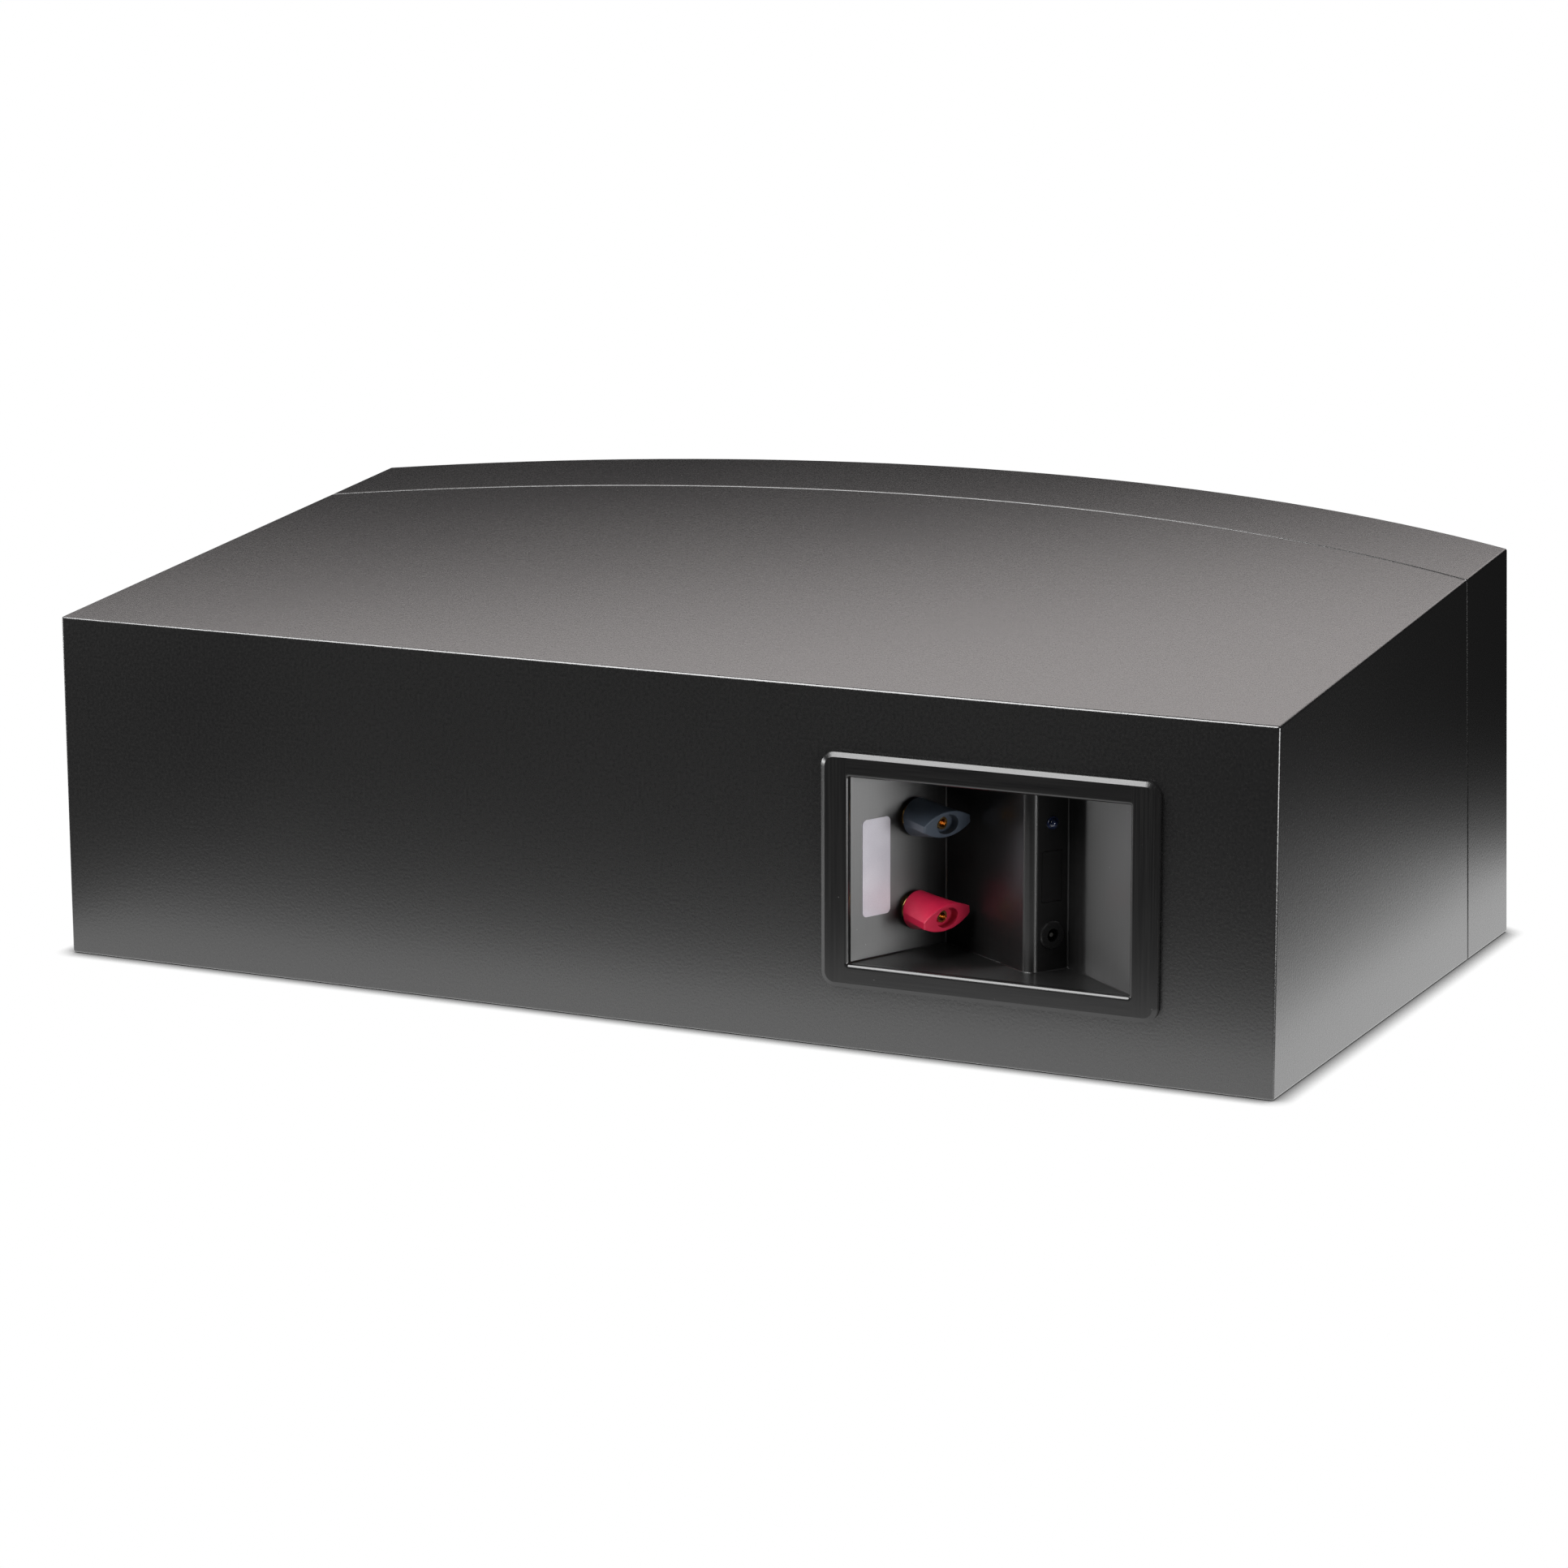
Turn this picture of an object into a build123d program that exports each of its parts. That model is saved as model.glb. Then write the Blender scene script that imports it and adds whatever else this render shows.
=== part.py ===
"""Center channel speaker: bowed front, wedge-shaped cabinet, terminal recess in the rear.

Millimetres, +Z up. The front faces -Y and the rear +Y, and the origin lies on the floor
below the middle of the cabinet. The top slopes up towards the front and the front leans
back by the same angle, so everything at the front is drawn in a leaning frame.
"""
import math
import os

from build123d import *

# Cabinet
WIDTH = 650.0
REAR_HEIGHT = 174.0
TOP_LENGTH = 420.0
FRONT_BULGE = 88.0
LEAN = 5.1
PANEL = 18.0
EDGE_ROUND = 1.2
BRACE = 15.0
BRACE_WINDOW = 26.0
BRACE_REACH = 235.0
BRACE_CORNER = 12.0

# Front frame, set against the cabinet along a bowed seam
BAND = 65.0
SEAM = 0.3
SEAM_ROUND = 0.8
FRAME_SIDE = 16.0
OPENING_HEIGHT = 166.0
LEDGE = 12.0
FIT = 0.3
SNUG = 0.15

# Baffle and grille
BAFFLE_SETBACK = 24.0
BAFFLE = 18.0
CLOTH_SETBACK = 1.5
CLOTH = 1.2
GRILLE_FRAME = 8.0
GRILLE_RAIL = 14.0
PEG_RADIUS = 3.5
PEG_INTO_BAFFLE = 9.0
CUP_RUBBER = 1.5
SCREW_RADIUS = 2.0
SCREW_HEAD_RADIUS = 4.0
SCREW_HEAD = 2.6
SCREW_LENGTH = 26.0
SCREW_BITE = 0.05
BAFFLE_SCREW_SHARES = (-0.86, -0.45, 0.45, 0.86)
PEG_SHARES = (-0.95, -0.35, 0.35, 0.95)

# Woofers, one each side, drawn with the axis along +Z and the mounting seat at zero
WOOFER_SHARE = 0.713
WOOFER_SEAT = 5.0
FLANGE_RADIUS = 72.0
FLANGE = 4.0
CUTOUT_RADIUS = 62.0
BASKET_WALL = 2.0
BASKET_WINDOWS = 4
BASKET_WINDOW_TALL = 20.0
SPIDER_LEVEL = -30.0
SPIDER_RADIUS = 44.0
NECK_LEVEL = -40.0
NECK_RADIUS = 39.0
CONE_RADIUS = 49.0
CONE_EDGE_LEVEL = 2.0
CONE_KNEE = 28.0
CONE_KNEE_LEVEL = -14.5
CONE_NECK_LEVEL = -24.0
CONE = 0.9
SURROUND_RADIUS = 58.0
SURROUND_LAND = 6.0
SURROUND = 0.9
DUST_CAP_RADIUS = 21.0
DUST_CAP_RISE = 8.0
COIL_RADIUS = 12.5
COIL = 0.9
COIL_END = -52.0
POLE_GAP = 0.7
TOP_PLATE = 5.0
MAGNET_RADIUS = 45.0
MAGNET_BORE = 20.0
MAGNET = 16.0
BACK_PLATE = 5.0
WOOFER_SCREWS = 4
WOOFER_SCREW_CIRCLE = 67.5
WOOFER_SCREW_LENGTH = 16.0

# Electrostatic panel, stacked against the back of the baffle
PANEL_CLEAR = 2.0
PANEL_TALL = 136.0
PANEL_BORDER = 10.0
STATOR = 1.2
FILM = 0.2
SLOT_COLUMNS = 14
SLOT_WIDTH = 7.0
SLOT_TALL = 50.0
SLOT_GAP = 5.0
SLOT_MARGIN = 15.0
CLAMP = 4.0
CLAMP_EAR = 12.0
PANEL_SCREW_BITE = 6.0

# Terminal cup in the rear panel
CUP_FROM_SIDE = 141.0
CUP_FLANGE_WIDE = 170.0
CUP_FLANGE_TALL = 113.0
CUP_FLANGE = 3.0
CUP_CORNER = 7.0
CUP_BEVEL = 2.2
CUP_BEVEL_DEEP = 1.1
CUP_WALL = 3.0
CUP_GASKET = 0.8
RECESS_WIDE = 142.0
RECESS_TALL = 90.0
LIP_ROUND = 2.0
FLOOR_ROUND = 0.6
POST_VALLEY = (46.0, 55.0)
RIDGE = (-13.5, 15.0)
JACK_VALLEY = (-25.5, 34.0)
RIDGE_ROUND = 5.0
VALLEY_ROUND = 0.8
CUTOUT_CLEAR = 1.0
HOOK_WIDE = 10.0
HOOK_RISE = 3.0
HOOK_LONG = 8.0

# Fittings on the jack wall, measured along it from the ridge
JACK_LINE = 12.8
JACK_DROP = -27.7
JACK_FLANGE_RADIUS = 6.8
JACK_FLANGE = 1.5
JACK_BODY_RADIUS = 4.8
JACK_BODY = 15.0
JACK_MOUTH_RADIUS = 3.15
JACK_MOUTH = 9.5
JACK_PIN_RADIUS = 1.0
JACK_NUT_RADIUS = 7.5
JACK_NUT = 2.5
LED_RISE = 26.0
LED_RADIUS = 2.6
LED_COLLAR_RADIUS = 3.1
LED_COLLAR = 0.8
LED_BODY = 9.0
BLANK_WIDE = 10.8
BLANK_TALL = 24.0
BLANK_RISE = 0.4
BLANK_PLATE = 1.4
BLANK_GAP = 0.25

# Label and binding posts on the post wall, measured along it from the mouth
LABEL_START = 7.2
LABEL_WIDE = 17.2
LABEL_TALL = 47.0
LABEL_CORNER = 2.5
LABEL = 0.3
LABEL_RISE = -1.0
POST_LINE = 38.6
RED_POST_DROP = -24.8
DARK_POST_RISE = 20.4
RED_POST_TURN = 8.0
DARK_POST_TURN = 3.0
STUD_RADIUS = 3.0
STUD_BORE = 2.0
STUD_BORE_DEPTH = 18.0
STUD_SHOULDER_RADIUS = 6.5
STUD_SHOULDER = 2.2
STUD_TAIL = 14.0
RUNNING_FIT = 0.06
WASHER_RADIUS = 8.0
WASHER = 1.2
KNOB_LENGTH = 21.0
KNOB_BASE_RADIUS = 9.4
KNOB_TIP_RADIUS = 14.6
KNOB_TIP_THICK = 12.0
KNOB_WING = 3.3
KNOB_MOUTH_RADIUS = 4.6
KNOB_MOUTH_REACH = 6.8
KNOB_MOUTH = 5.0
KNOB_ROUND = 0.5
KNOB_MOUTH_EASE = 0.4
STUD_SUNK = 3.6
TAG = 0.8
TAG_RADIUS = 6.0
TAG_REACH = 14.0
WIRE_ON_TAG = 11.0
NUT = 5.0
NUT_FLATS = 10.0

# Crossover and high-voltage supply on the cabinet floor
BOARD_X = 120.0
BOARD_FROM_REAR = 86.7
BOARD_WIDE = 150.0
BOARD_DEEP = 96.0
BOARD = 1.6
STANDOFF = 8.0
STANDOFF_RADIUS = 3.5
BOARD_INSET = 7.0
BIG_COIL = (24.0, 9.0, 24.0)
SMALL_COIL = (17.0, 7.0, 18.0)
CAPACITORS = 3
CAPACITOR_RADIUS = 9.0
CAPACITOR_LONG = 36.0
CAPACITOR_PITCH = 22.0
CAPACITOR_X = 45.0
BIG_COIL_X = -40.0
SMALL_COIL_X = 3.0
COIL_Y = -14.0
RESISTOR = (36.0, 9.0, 9.0)
TRANSFORMER = (58.0, 36.0, 48.0)
TRANSFORMER_X = -62.0
TRANSFORMER_FROM_REAR = 190.0
CORE_FOOT = 2.0
CORE_FOOT_WIDE = 81.0
WINDING_TALL = 34.0
WINDING_BULGE = 9.0
BIAS_BOX = (70.0, 44.0, 26.0)
BIAS_X = -140.0
BIAS_FROM_REAR = 156.7
BIAS_CORNER = 3.0
WADDING = 24.0
WADDING_CLEAR = 20.0
WADDING_TALL = 90.0
WADDING_DROP = 4.0
WIRE_RADIUS = 1.6
WIRE_BEND = 0.45
WIRE_LEAD = 30.0
RED_WIRE_FROM_REAR = 66.7
DARK_WIRE_FROM_REAR = 52.7

# Worked out from the sizes above
TILT = math.radians(LEAN)
FRONT_RADIUS = (WIDTH ** 2 / 4 + FRONT_BULGE ** 2) / (2 * FRONT_BULGE)
ARC_Y = FRONT_RADIUS - TOP_LENGTH
FRONT_HEIGHT = (REAR_HEIGHT + TOP_LENGTH * math.sin(TILT)) / math.cos(TILT)
DEPTH = TOP_LENGTH * math.cos(TILT) + FRONT_HEIGHT * math.sin(TILT)
REAR_Y = (DEPTH - CUP_GASKET - CUP_FLANGE) / 2
TALL = 2 * FRONT_HEIGHT
LEANING = Location((0, REAR_Y, REAR_HEIGHT), (-LEAN, 0, 0))
CUP_X = CUP_FROM_SIDE - WIDTH / 2
CUP_Z = REAR_HEIGHT / 2
BOARD_Y = REAR_Y - BOARD_FROM_REAR
OPENING_HALF = WIDTH / 2 - FRAME_SIDE
OPENING_TOP = -FRAME_SIDE
OPENING_BOTTOM = OPENING_TOP - OPENING_HEIGHT
MID_LEVEL = (OPENING_TOP + OPENING_BOTTOM) / 2
BAFFLE_FRONT = FRONT_RADIUS - BAFFLE_SETBACK
BAFFLE_BACK = BAFFLE_FRONT - BAFFLE
WOOFER_X = WOOFER_SHARE * OPENING_HALF
WOOFER_TURN = math.asin(WOOFER_X / (BAFFLE_FRONT - WOOFER_SEAT))
CUTOUT_EDGE = WOOFER_X - CUTOUT_RADIUS * math.cos(WOOFER_TURN) - BAFFLE * math.sin(WOOFER_TURN)
PANEL_HALF = CUTOUT_EDGE - CLAMP_EAR - PANEL_CLEAR
CLOTH_FRONT = FRONT_RADIUS - CLOTH_SETBACK
GRILLE_FRONT = CLOTH_FRONT - CLOTH - SNUG
GRILLE_BACK = GRILLE_FRONT - GRILLE_FRAME
COIL_OUTER = COIL_RADIUS + COIL
LAND_LEVEL = FLANGE - SURROUND - SCREW_BITE
FLOOR_LEVEL = NECK_LEVEL - BASKET_WALL
FRONT_STATOR = BAFFLE_BACK - SNUG
FRONT_SPACER = FRONT_STATOR - STATOR - SNUG
FILM_FRONT = FRONT_SPACER - STATOR - SNUG
REAR_SPACER = FILM_FRONT - FILM - SNUG
REAR_STATOR = REAR_SPACER - STATOR - SNUG
CLAMP_FRONT = REAR_STATOR - STATOR - SNUG
CLAMP_BACK = CLAMP_FRONT - CLAMP
PANEL_SCREW_LENGTH = BAFFLE_BACK - CLAMP_BACK + PANEL_SCREW_BITE
CUTOUT_WIDE = RECESS_WIDE + 2 * CUP_WALL + 2 * CUTOUT_CLEAR
CUTOUT_TALL = RECESS_TALL + 2 * CUP_WALL + 2 * CUTOUT_CLEAR
KNOB_LEVEL = STUD_SHOULDER + FIT + WASHER + FIT

nodes = {}


# Shapes shared by several pieces

def drum(radius, setback=0.0):
    """Everything behind an arc like the front's, moved back by a setback (leaning frame)."""
    return Pos(0, ARC_Y + setback, 0) * Cylinder(radius, 2 * TALL)


def leaning_box(half_width, top, bottom):
    """Upright bar as deep as the cabinet and more, between two levels (leaning frame)."""
    return Pos(0, -TOP_LENGTH / 2, (top + bottom) / 2) * Box(2 * half_width, 2 * TOP_LENGTH, top - bottom)


def bowed_slab(front, back, half_width, top, bottom):
    """Curved panel between two radii about the front's own axis (leaning frame)."""
    level = (top + bottom) / 2
    ring = Cylinder(front, top - bottom) - Cylinder(back, top - bottom)
    window = Pos(0, -front, 0) * Box(2 * half_width, front, top - bottom)
    return Pos(0, ARC_Y, level) * (ring & window)


def bowed_ring(front, back, half_width, top, bottom, rail):
    """Curved panel with a window that leaves a rail all round (leaning frame)."""
    window = leaning_box(half_width - rail, top - rail, bottom + rail)
    return bowed_slab(front, back, half_width, top, bottom) - window


def facing(angle, radius, level):
    """Place on the bowed front: z points out of the front, y up the lean."""
    turn = math.radians(angle)
    out = (math.sin(turn), -math.cos(turn), 0)
    side = (math.cos(turn), math.sin(turn), 0)
    origin = (radius * out[0], ARC_Y + radius * out[1], level)
    return LEANING * Plane(origin=origin, x_dir=side, z_dir=out).location


def turned(points):
    """Solid of revolution about z from an outline of (radius, height) points."""
    outline = Polyline([(radius, 0, height) for radius, height in points], close=True)
    return revolve(make_face(outline), Axis.Z)


def tube(outer, inner, low, high):
    """Ring of two radii between two heights."""
    ring = Circle(outer) - Circle(inner)
    return Pos(0, 0, low) * extrude(ring, high - low)


def disc(radius, low, high):
    """Round bar between two heights."""
    return Pos(0, 0, low) * extrude(Circle(radius), high - low)


def screw_hole(low, high):
    """Hole for a wood screw's shank between two heights."""
    return disc(SCREW_RADIUS + SCREW_BITE, low, high)


def pan_screw(length):
    """Pan-head wood screw, head on z = 0 and shank going down."""
    return disc(SCREW_HEAD_RADIUS, 0, SCREW_HEAD) + disc(SCREW_RADIUS, -length, 0)


def wire(points):
    """Round wire along straight runs, with the widest arcs that each corner leaves room for."""
    corners = [Vector(*point) for point in points]
    pieces = []
    start = corners[0]
    for before, corner, after in zip(corners, corners[1:], corners[2:]):
        back = (before - corner).normalized()
        onward = (after - corner).normalized()
        reach = WIRE_BEND * min((before - corner).length, (after - corner).length)
        half_turn = (math.pi - math.acos(back.dot(onward))) / 2
        radius = reach / math.tan(half_turn)
        centre = corner + (back + onward).normalized() * (radius / math.cos(half_turn))
        middle = centre + (corner - centre).normalized() * radius
        pieces.append(Line(start, corner + back * reach))
        pieces.append(ThreePointArc(corner + back * reach, middle, corner + onward * reach))
        start = corner + onward * reach
    pieces.append(Line(start, corners[-1]))
    path = Wire(Curve() + pieces)
    section = Plane(origin=corners[0], z_dir=path % 0) * Circle(WIRE_RADIUS)
    return sweep(section, path)


# Cabinet and front frame

def indoors(inset):
    """Everything above the floor and ahead of the rear, less an inset from both."""
    room = Box(2 * WIDTH, 2 * DEPTH, 2 * TALL, align=(Align.CENTER, Align.MAX, Align.MIN))
    return Pos(0, REAR_Y - inset, inset) * room


def outer_block():
    """The whole outer form: straight sides, bowed front, sloping top, upright rear."""
    block = drum(FRONT_RADIUS) & leaning_box(WIDTH / 2, 0, -TALL)
    return (LEANING * block) & indoors(0)


def cabinet_hollow():
    """Space inside the cabinet's panels, running out past the seam."""
    return (LEANING * leaning_box(WIDTH / 2 - PANEL, -PANEL, -TALL)) & indoors(PANEL)


def seam_face(band):
    """Rear face of the front band, the hindmost of its two bowed faces."""
    return band.faces().filter_by(GeomType.CYLINDER).sort_by(Axis.Y)[-1]


def make_cabinet(block):
    """Glued fibreboard carcass, open at the front, with a cut-out for the terminal cup."""
    body = block & (LEANING * drum(FRONT_RADIUS, BAND))
    body = fillet(body.edges(), EDGE_ROUND)
    cutout = Pos(CUP_X, REAR_Y, CUP_Z) * Box(CUTOUT_WIDE, 3 * PANEL, CUTOUT_TALL)
    return body - cabinet_hollow() - cutout


def make_frame(block):
    """Front band with an opening for the baffle and grille and a ledge behind the baffle."""
    body = block - (LEANING * drum(FRONT_RADIUS, BAND - SEAM))
    seam_edges = seam_face(body).edges()
    body = fillet([edge for edge in body.edges() if edge not in seam_edges], EDGE_ROUND)
    body = fillet(seam_face(body).edges(), SEAM_ROUND)
    opening = leaning_box(OPENING_HALF, OPENING_TOP, OPENING_BOTTOM) - drum(BAFFLE_BACK)
    inner = leaning_box(OPENING_HALF - LEDGE, OPENING_TOP - LEDGE, OPENING_BOTTOM + LEDGE)
    holes = [place * screw_hole(-SCREW_LENGTH - FIT, 0) for place in baffle_screw_places()]
    return body - LEANING * (opening + inner) - holes


def make_brace():
    """Windowed board across the middle of the cabinet, from the rear panel forwards."""
    front_y = REAR_Y - PANEL - BRACE_REACH
    board = Pos(0, REAR_Y - PANEL - BRACE_REACH / 2, 0) * Box(BRACE, BRACE_REACH, 4 * TALL)
    lowest_top = REAR_HEIGHT - PANEL - BRACE_WINDOW
    window = Box(2 * BRACE, BRACE_REACH - 2 * BRACE_WINDOW, lowest_top - PANEL - BRACE_WINDOW)
    window = fillet(window.edges().filter_by(Axis.X), BRACE_CORNER)
    place = Pos(0, front_y + BRACE_REACH / 2, (PANEL + BRACE_WINDOW + lowest_top) / 2)
    return (board & cabinet_hollow()) - place * window


# Baffle, grille and their fixings

def woofer_place(side):
    """Seat of one woofer, side 1 on the +X side and -1 on the other."""
    return facing(side * math.degrees(WOOFER_TURN), BAFFLE_FRONT - WOOFER_SEAT, MID_LEVEL)


def rail_places(shares, inset):
    """Places on the baffle along the opening's top and bottom rails, by shares of its half width."""
    levels = (OPENING_TOP - inset, OPENING_BOTTOM + inset)
    angles = [math.degrees(math.asin(share * OPENING_HALF / BAFFLE_FRONT)) for share in shares]
    return [facing(angle, BAFFLE_FRONT, level) for angle in angles for level in levels]


def screw_circle():
    """Woofer screw places on the flange, in the woofer's own frame."""
    return list(PolarLocations(WOOFER_SCREW_CIRCLE, WOOFER_SCREWS, start_angle=180 / WOOFER_SCREWS))


def make_baffle():
    """Bowed baffle with flat woofer seats, a window for the panel and holes for the fixings."""
    top = OPENING_TOP - FIT
    bottom = OPENING_BOTTOM + FIT
    baffle = bowed_slab(BAFFLE_FRONT, BAFFLE_BACK + SNUG, OPENING_HALF - FIT, top, bottom)
    window_half = PANEL_HALF - PANEL_BORDER
    window_tall = PANEL_TALL / 2 - PANEL_BORDER
    baffle = LEANING * (baffle - leaning_box(window_half, MID_LEVEL + window_tall, MID_LEVEL - window_tall))
    cuts = []
    for side in (1, -1):
        seat = woofer_place(side)
        cuts.append(seat * disc(FLANGE_RADIUS + FIT, 0, BAFFLE))
        cuts.append(seat * disc(CUTOUT_RADIUS, -2 * BAFFLE, BAFFLE))
        cuts += [seat * hole * screw_hole(-WOOFER_SCREW_LENGTH, 0) for hole in screw_circle()]
    cuts += [place * screw_hole(-2 * BAFFLE, BAFFLE) for place in baffle_screw_places()]
    cuts += [place * disc(PEG_RADIUS + CUP_RUBBER + SCREW_BITE, -PEG_INTO_BAFFLE - CUP_RUBBER, BAFFLE)
             for place in peg_places()]
    cuts += [place * screw_hole(0, PANEL_SCREW_LENGTH) for place in panel_screw_places()]
    return baffle - cuts


def baffle_screw_places():
    """Screws through the baffle's border into the frame's ledge."""
    return rail_places(BAFFLE_SCREW_SHARES, LEDGE / 2)


def peg_places():
    """Grille pegs, where the grille's rails face the baffle's border."""
    return rail_places(PEG_SHARES, FIT + GRILLE_RAIL / 2)


def panel_screw_places():
    """Screws of the panel's clamp, along its two ends, pointing out through the baffle."""
    angle = math.degrees(math.asin((PANEL_HALF + CLAMP_EAR / 2) / BAFFLE_BACK))
    levels = (MID_LEVEL - PANEL_TALL / 3, MID_LEVEL, MID_LEVEL + PANEL_TALL / 3)
    return [facing(side * angle, CLAMP_BACK, level) for side in (1, -1) for level in levels]


def make_grille_frame():
    """Moulded grille frame: rails, two uprights and eight pegs that push into the baffle."""
    top = OPENING_TOP - FIT
    bottom = OPENING_BOTTOM + FIT
    half = OPENING_HALF - FIT
    frame = bowed_ring(GRILLE_FRONT, GRILLE_BACK, half, top, bottom, GRILLE_RAIL)
    panel = bowed_slab(GRILLE_FRONT, GRILLE_BACK, half, top, bottom)
    for side in (1, -1):
        upright = Pos(side * (PANEL_HALF + GRILLE_RAIL), -TOP_LENGTH / 2, MID_LEVEL)
        frame += panel & (upright * Box(GRILLE_RAIL, 2 * TOP_LENGTH, OPENING_HEIGHT - 2 * FIT))
    reach = GRILLE_BACK - BAFFLE_FRONT
    pegs = [place * disc(PEG_RADIUS, -PEG_INTO_BAFFLE, reach + GRILLE_FRAME / 2) for place in peg_places()]
    return LEANING * frame + pegs


def make_cloth():
    """Cloth stretched over the bowed grille frame."""
    return LEANING * bowed_slab(CLOTH_FRONT, CLOTH_FRONT - CLOTH, OPENING_HALF - FIT, OPENING_TOP - FIT,
                                OPENING_BOTTOM + FIT)


def make_grille_cups():
    """Rubber cups in the baffle that grip the grille pegs."""
    cup = disc(PEG_RADIUS + CUP_RUBBER, -PEG_INTO_BAFFLE - CUP_RUBBER, -CUP_RUBBER)
    cup -= disc(PEG_RADIUS + SCREW_BITE, -PEG_INTO_BAFFLE, 0)
    return [place * cup for place in peg_places()]


# Woofers

def make_basket():
    """Cast basket: flange, windowed cone, spider ledge, neck and floor."""
    land = SURROUND_RADIUS + SURROUND_LAND + FIT
    body_radius = CUTOUT_RADIUS - BASKET_WALL
    throat = body_radius - BASKET_WALL
    neck = NECK_RADIUS + BASKET_WALL
    ledge_under = SPIDER_LEVEL - BASKET_WALL
    basket = turned([
        (FLANGE_RADIUS, 0), (FLANGE_RADIUS, FLANGE), (land, FLANGE), (land, LAND_LEVEL),
        (throat, LAND_LEVEL), (throat, 0), (SPIDER_RADIUS, SPIDER_LEVEL),
        (NECK_RADIUS, SPIDER_LEVEL), (NECK_RADIUS, NECK_LEVEL), (MAGNET_BORE, NECK_LEVEL),
        (MAGNET_BORE, FLOOR_LEVEL), (neck, FLOOR_LEVEL), (neck, ledge_under),
        (SPIDER_RADIUS + BASKET_WALL, ledge_under), (body_radius, -BASKET_WALL), (body_radius, 0),
    ])
    window = Pos(SPIDER_RADIUS, 0, SPIDER_LEVEL / 2) * Box(SPIDER_RADIUS, SPIDER_RADIUS, BASKET_WINDOW_TALL)
    windows = [Rot(0, 0, 360 * step / BASKET_WINDOWS) * window for step in range(BASKET_WINDOWS)]
    holes = [loc * screw_hole(-FLANGE, 2 * FLANGE) for loc in screw_circle()]
    return basket - windows - holes


def make_cone():
    """Paper cone, slightly flared, glued to the voice coil's former."""
    neck = (COIL_OUTER + SCREW_BITE, CONE_NECK_LEVEL)
    under = [neck, (CONE_KNEE, CONE_KNEE_LEVEL), (CONE_RADIUS, CONE_EDGE_LEVEL)]
    over = [(radius, level + CONE) for radius, level in reversed(under)]
    return turned(under + over)


def make_dust_cap():
    """Domed cap over the cone's neck."""
    radius = (DUST_CAP_RADIUS ** 2 + DUST_CAP_RISE ** 2) / (2 * DUST_CAP_RISE)
    share = (DUST_CAP_RADIUS - COIL_OUTER) / (CONE_KNEE - COIL_OUTER)
    foot = CONE_NECK_LEVEL + share * (CONE_KNEE_LEVEL - CONE_NECK_LEVEL) + CONE + SCREW_BITE
    shell = Sphere(radius) - Sphere(radius - CONE)
    dome = shell & disc(DUST_CAP_RADIUS, radius - DUST_CAP_RISE, 2 * radius)
    return Pos(0, 0, foot - radius + DUST_CAP_RISE) * dome


def make_surround():
    """Rubber half roll between the cone's edge and the basket's flange."""
    low = LAND_LEVEL + SCREW_BITE
    roll_radius = (SURROUND_RADIUS - CONE_RADIUS) / 2
    middle = (SURROUND_RADIUS + CONE_RADIUS) / 2
    section = Circle(roll_radius) - Circle(roll_radius - SURROUND)
    section &= Pos(0, roll_radius) * Rectangle(3 * roll_radius, 2 * roll_radius)
    roll = revolve(Plane.XZ * Pos(middle, low) * section, Axis.Z)
    outer_land = tube(SURROUND_RADIUS + SURROUND_LAND, SURROUND_RADIUS - SURROUND, low, low + SURROUND)
    inner_land = tube(CONE_RADIUS + SURROUND, CONE_RADIUS - SURROUND_LAND / 2, low, low + SURROUND)
    return roll + outer_land + inner_land


def make_spider():
    """Corrugated cloth disc that centres the voice coil."""
    low = SPIDER_LEVEL + SCREW_BITE
    wave = 2 * SURROUND
    step = (NECK_RADIUS - COIL_OUTER) / 4
    under = [(COIL_OUTER + SCREW_BITE, low), (COIL_OUTER + step, low + wave), (COIL_OUTER + 2 * step, low),
             (COIL_OUTER + 3 * step, low + wave), (NECK_RADIUS, low), (SPIDER_RADIUS, low)]
    over = [(radius, level + SURROUND) for radius, level in reversed(under)]
    return turned(under + over)


def make_woofer(prefix, side):
    """All the pieces of one woofer at its seat on the baffle."""
    plate_low = FLOOR_LEVEL - TOP_PLATE
    magnet_low = plate_low - MAGNET
    pole_radius = COIL_RADIUS - POLE_GAP
    yoke = disc(MAGNET_RADIUS - BASKET_WALL, magnet_low - BACK_PLATE, magnet_low)
    yoke += disc(pole_radius, magnet_low - BACK_PLATE, FLOOR_LEVEL)
    pieces = {
        "basket": make_basket(),
        "cone": make_cone(),
        "dust_cap": make_dust_cap(),
        "surround": make_surround(),
        "spider": make_spider(),
        "voice_coil": tube(COIL_OUTER, COIL_RADIUS, COIL_END, CONE_NECK_LEVEL + 2 * CONE),
        "top_plate": tube(MAGNET_RADIUS - BASKET_WALL, COIL_OUTER + POLE_GAP, plate_low, FLOOR_LEVEL),
        "magnet": tube(MAGNET_RADIUS, MAGNET_BORE, magnet_low, plate_low),
        "yoke": yoke,
    }
    for name, piece in pieces.items():
        nodes[f"{prefix}_{name}"] = woofer_place(side) * piece


def make_woofer_screws():
    """Screws through both woofers' flanges."""
    screw = Pos(0, 0, FLANGE) * pan_screw(WOOFER_SCREW_LENGTH)
    return [woofer_place(side) * hole * screw for side in (1, -1) for hole in screw_circle()]


# Electrostatic panel

def panel_sheet(front, thickness):
    """Full-size bowed sheet of the panel, in its place."""
    return LEANING * bowed_slab(front, front - thickness, PANEL_HALF, MID_LEVEL + PANEL_TALL / 2,
                                MID_LEVEL - PANEL_TALL / 2)


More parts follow.
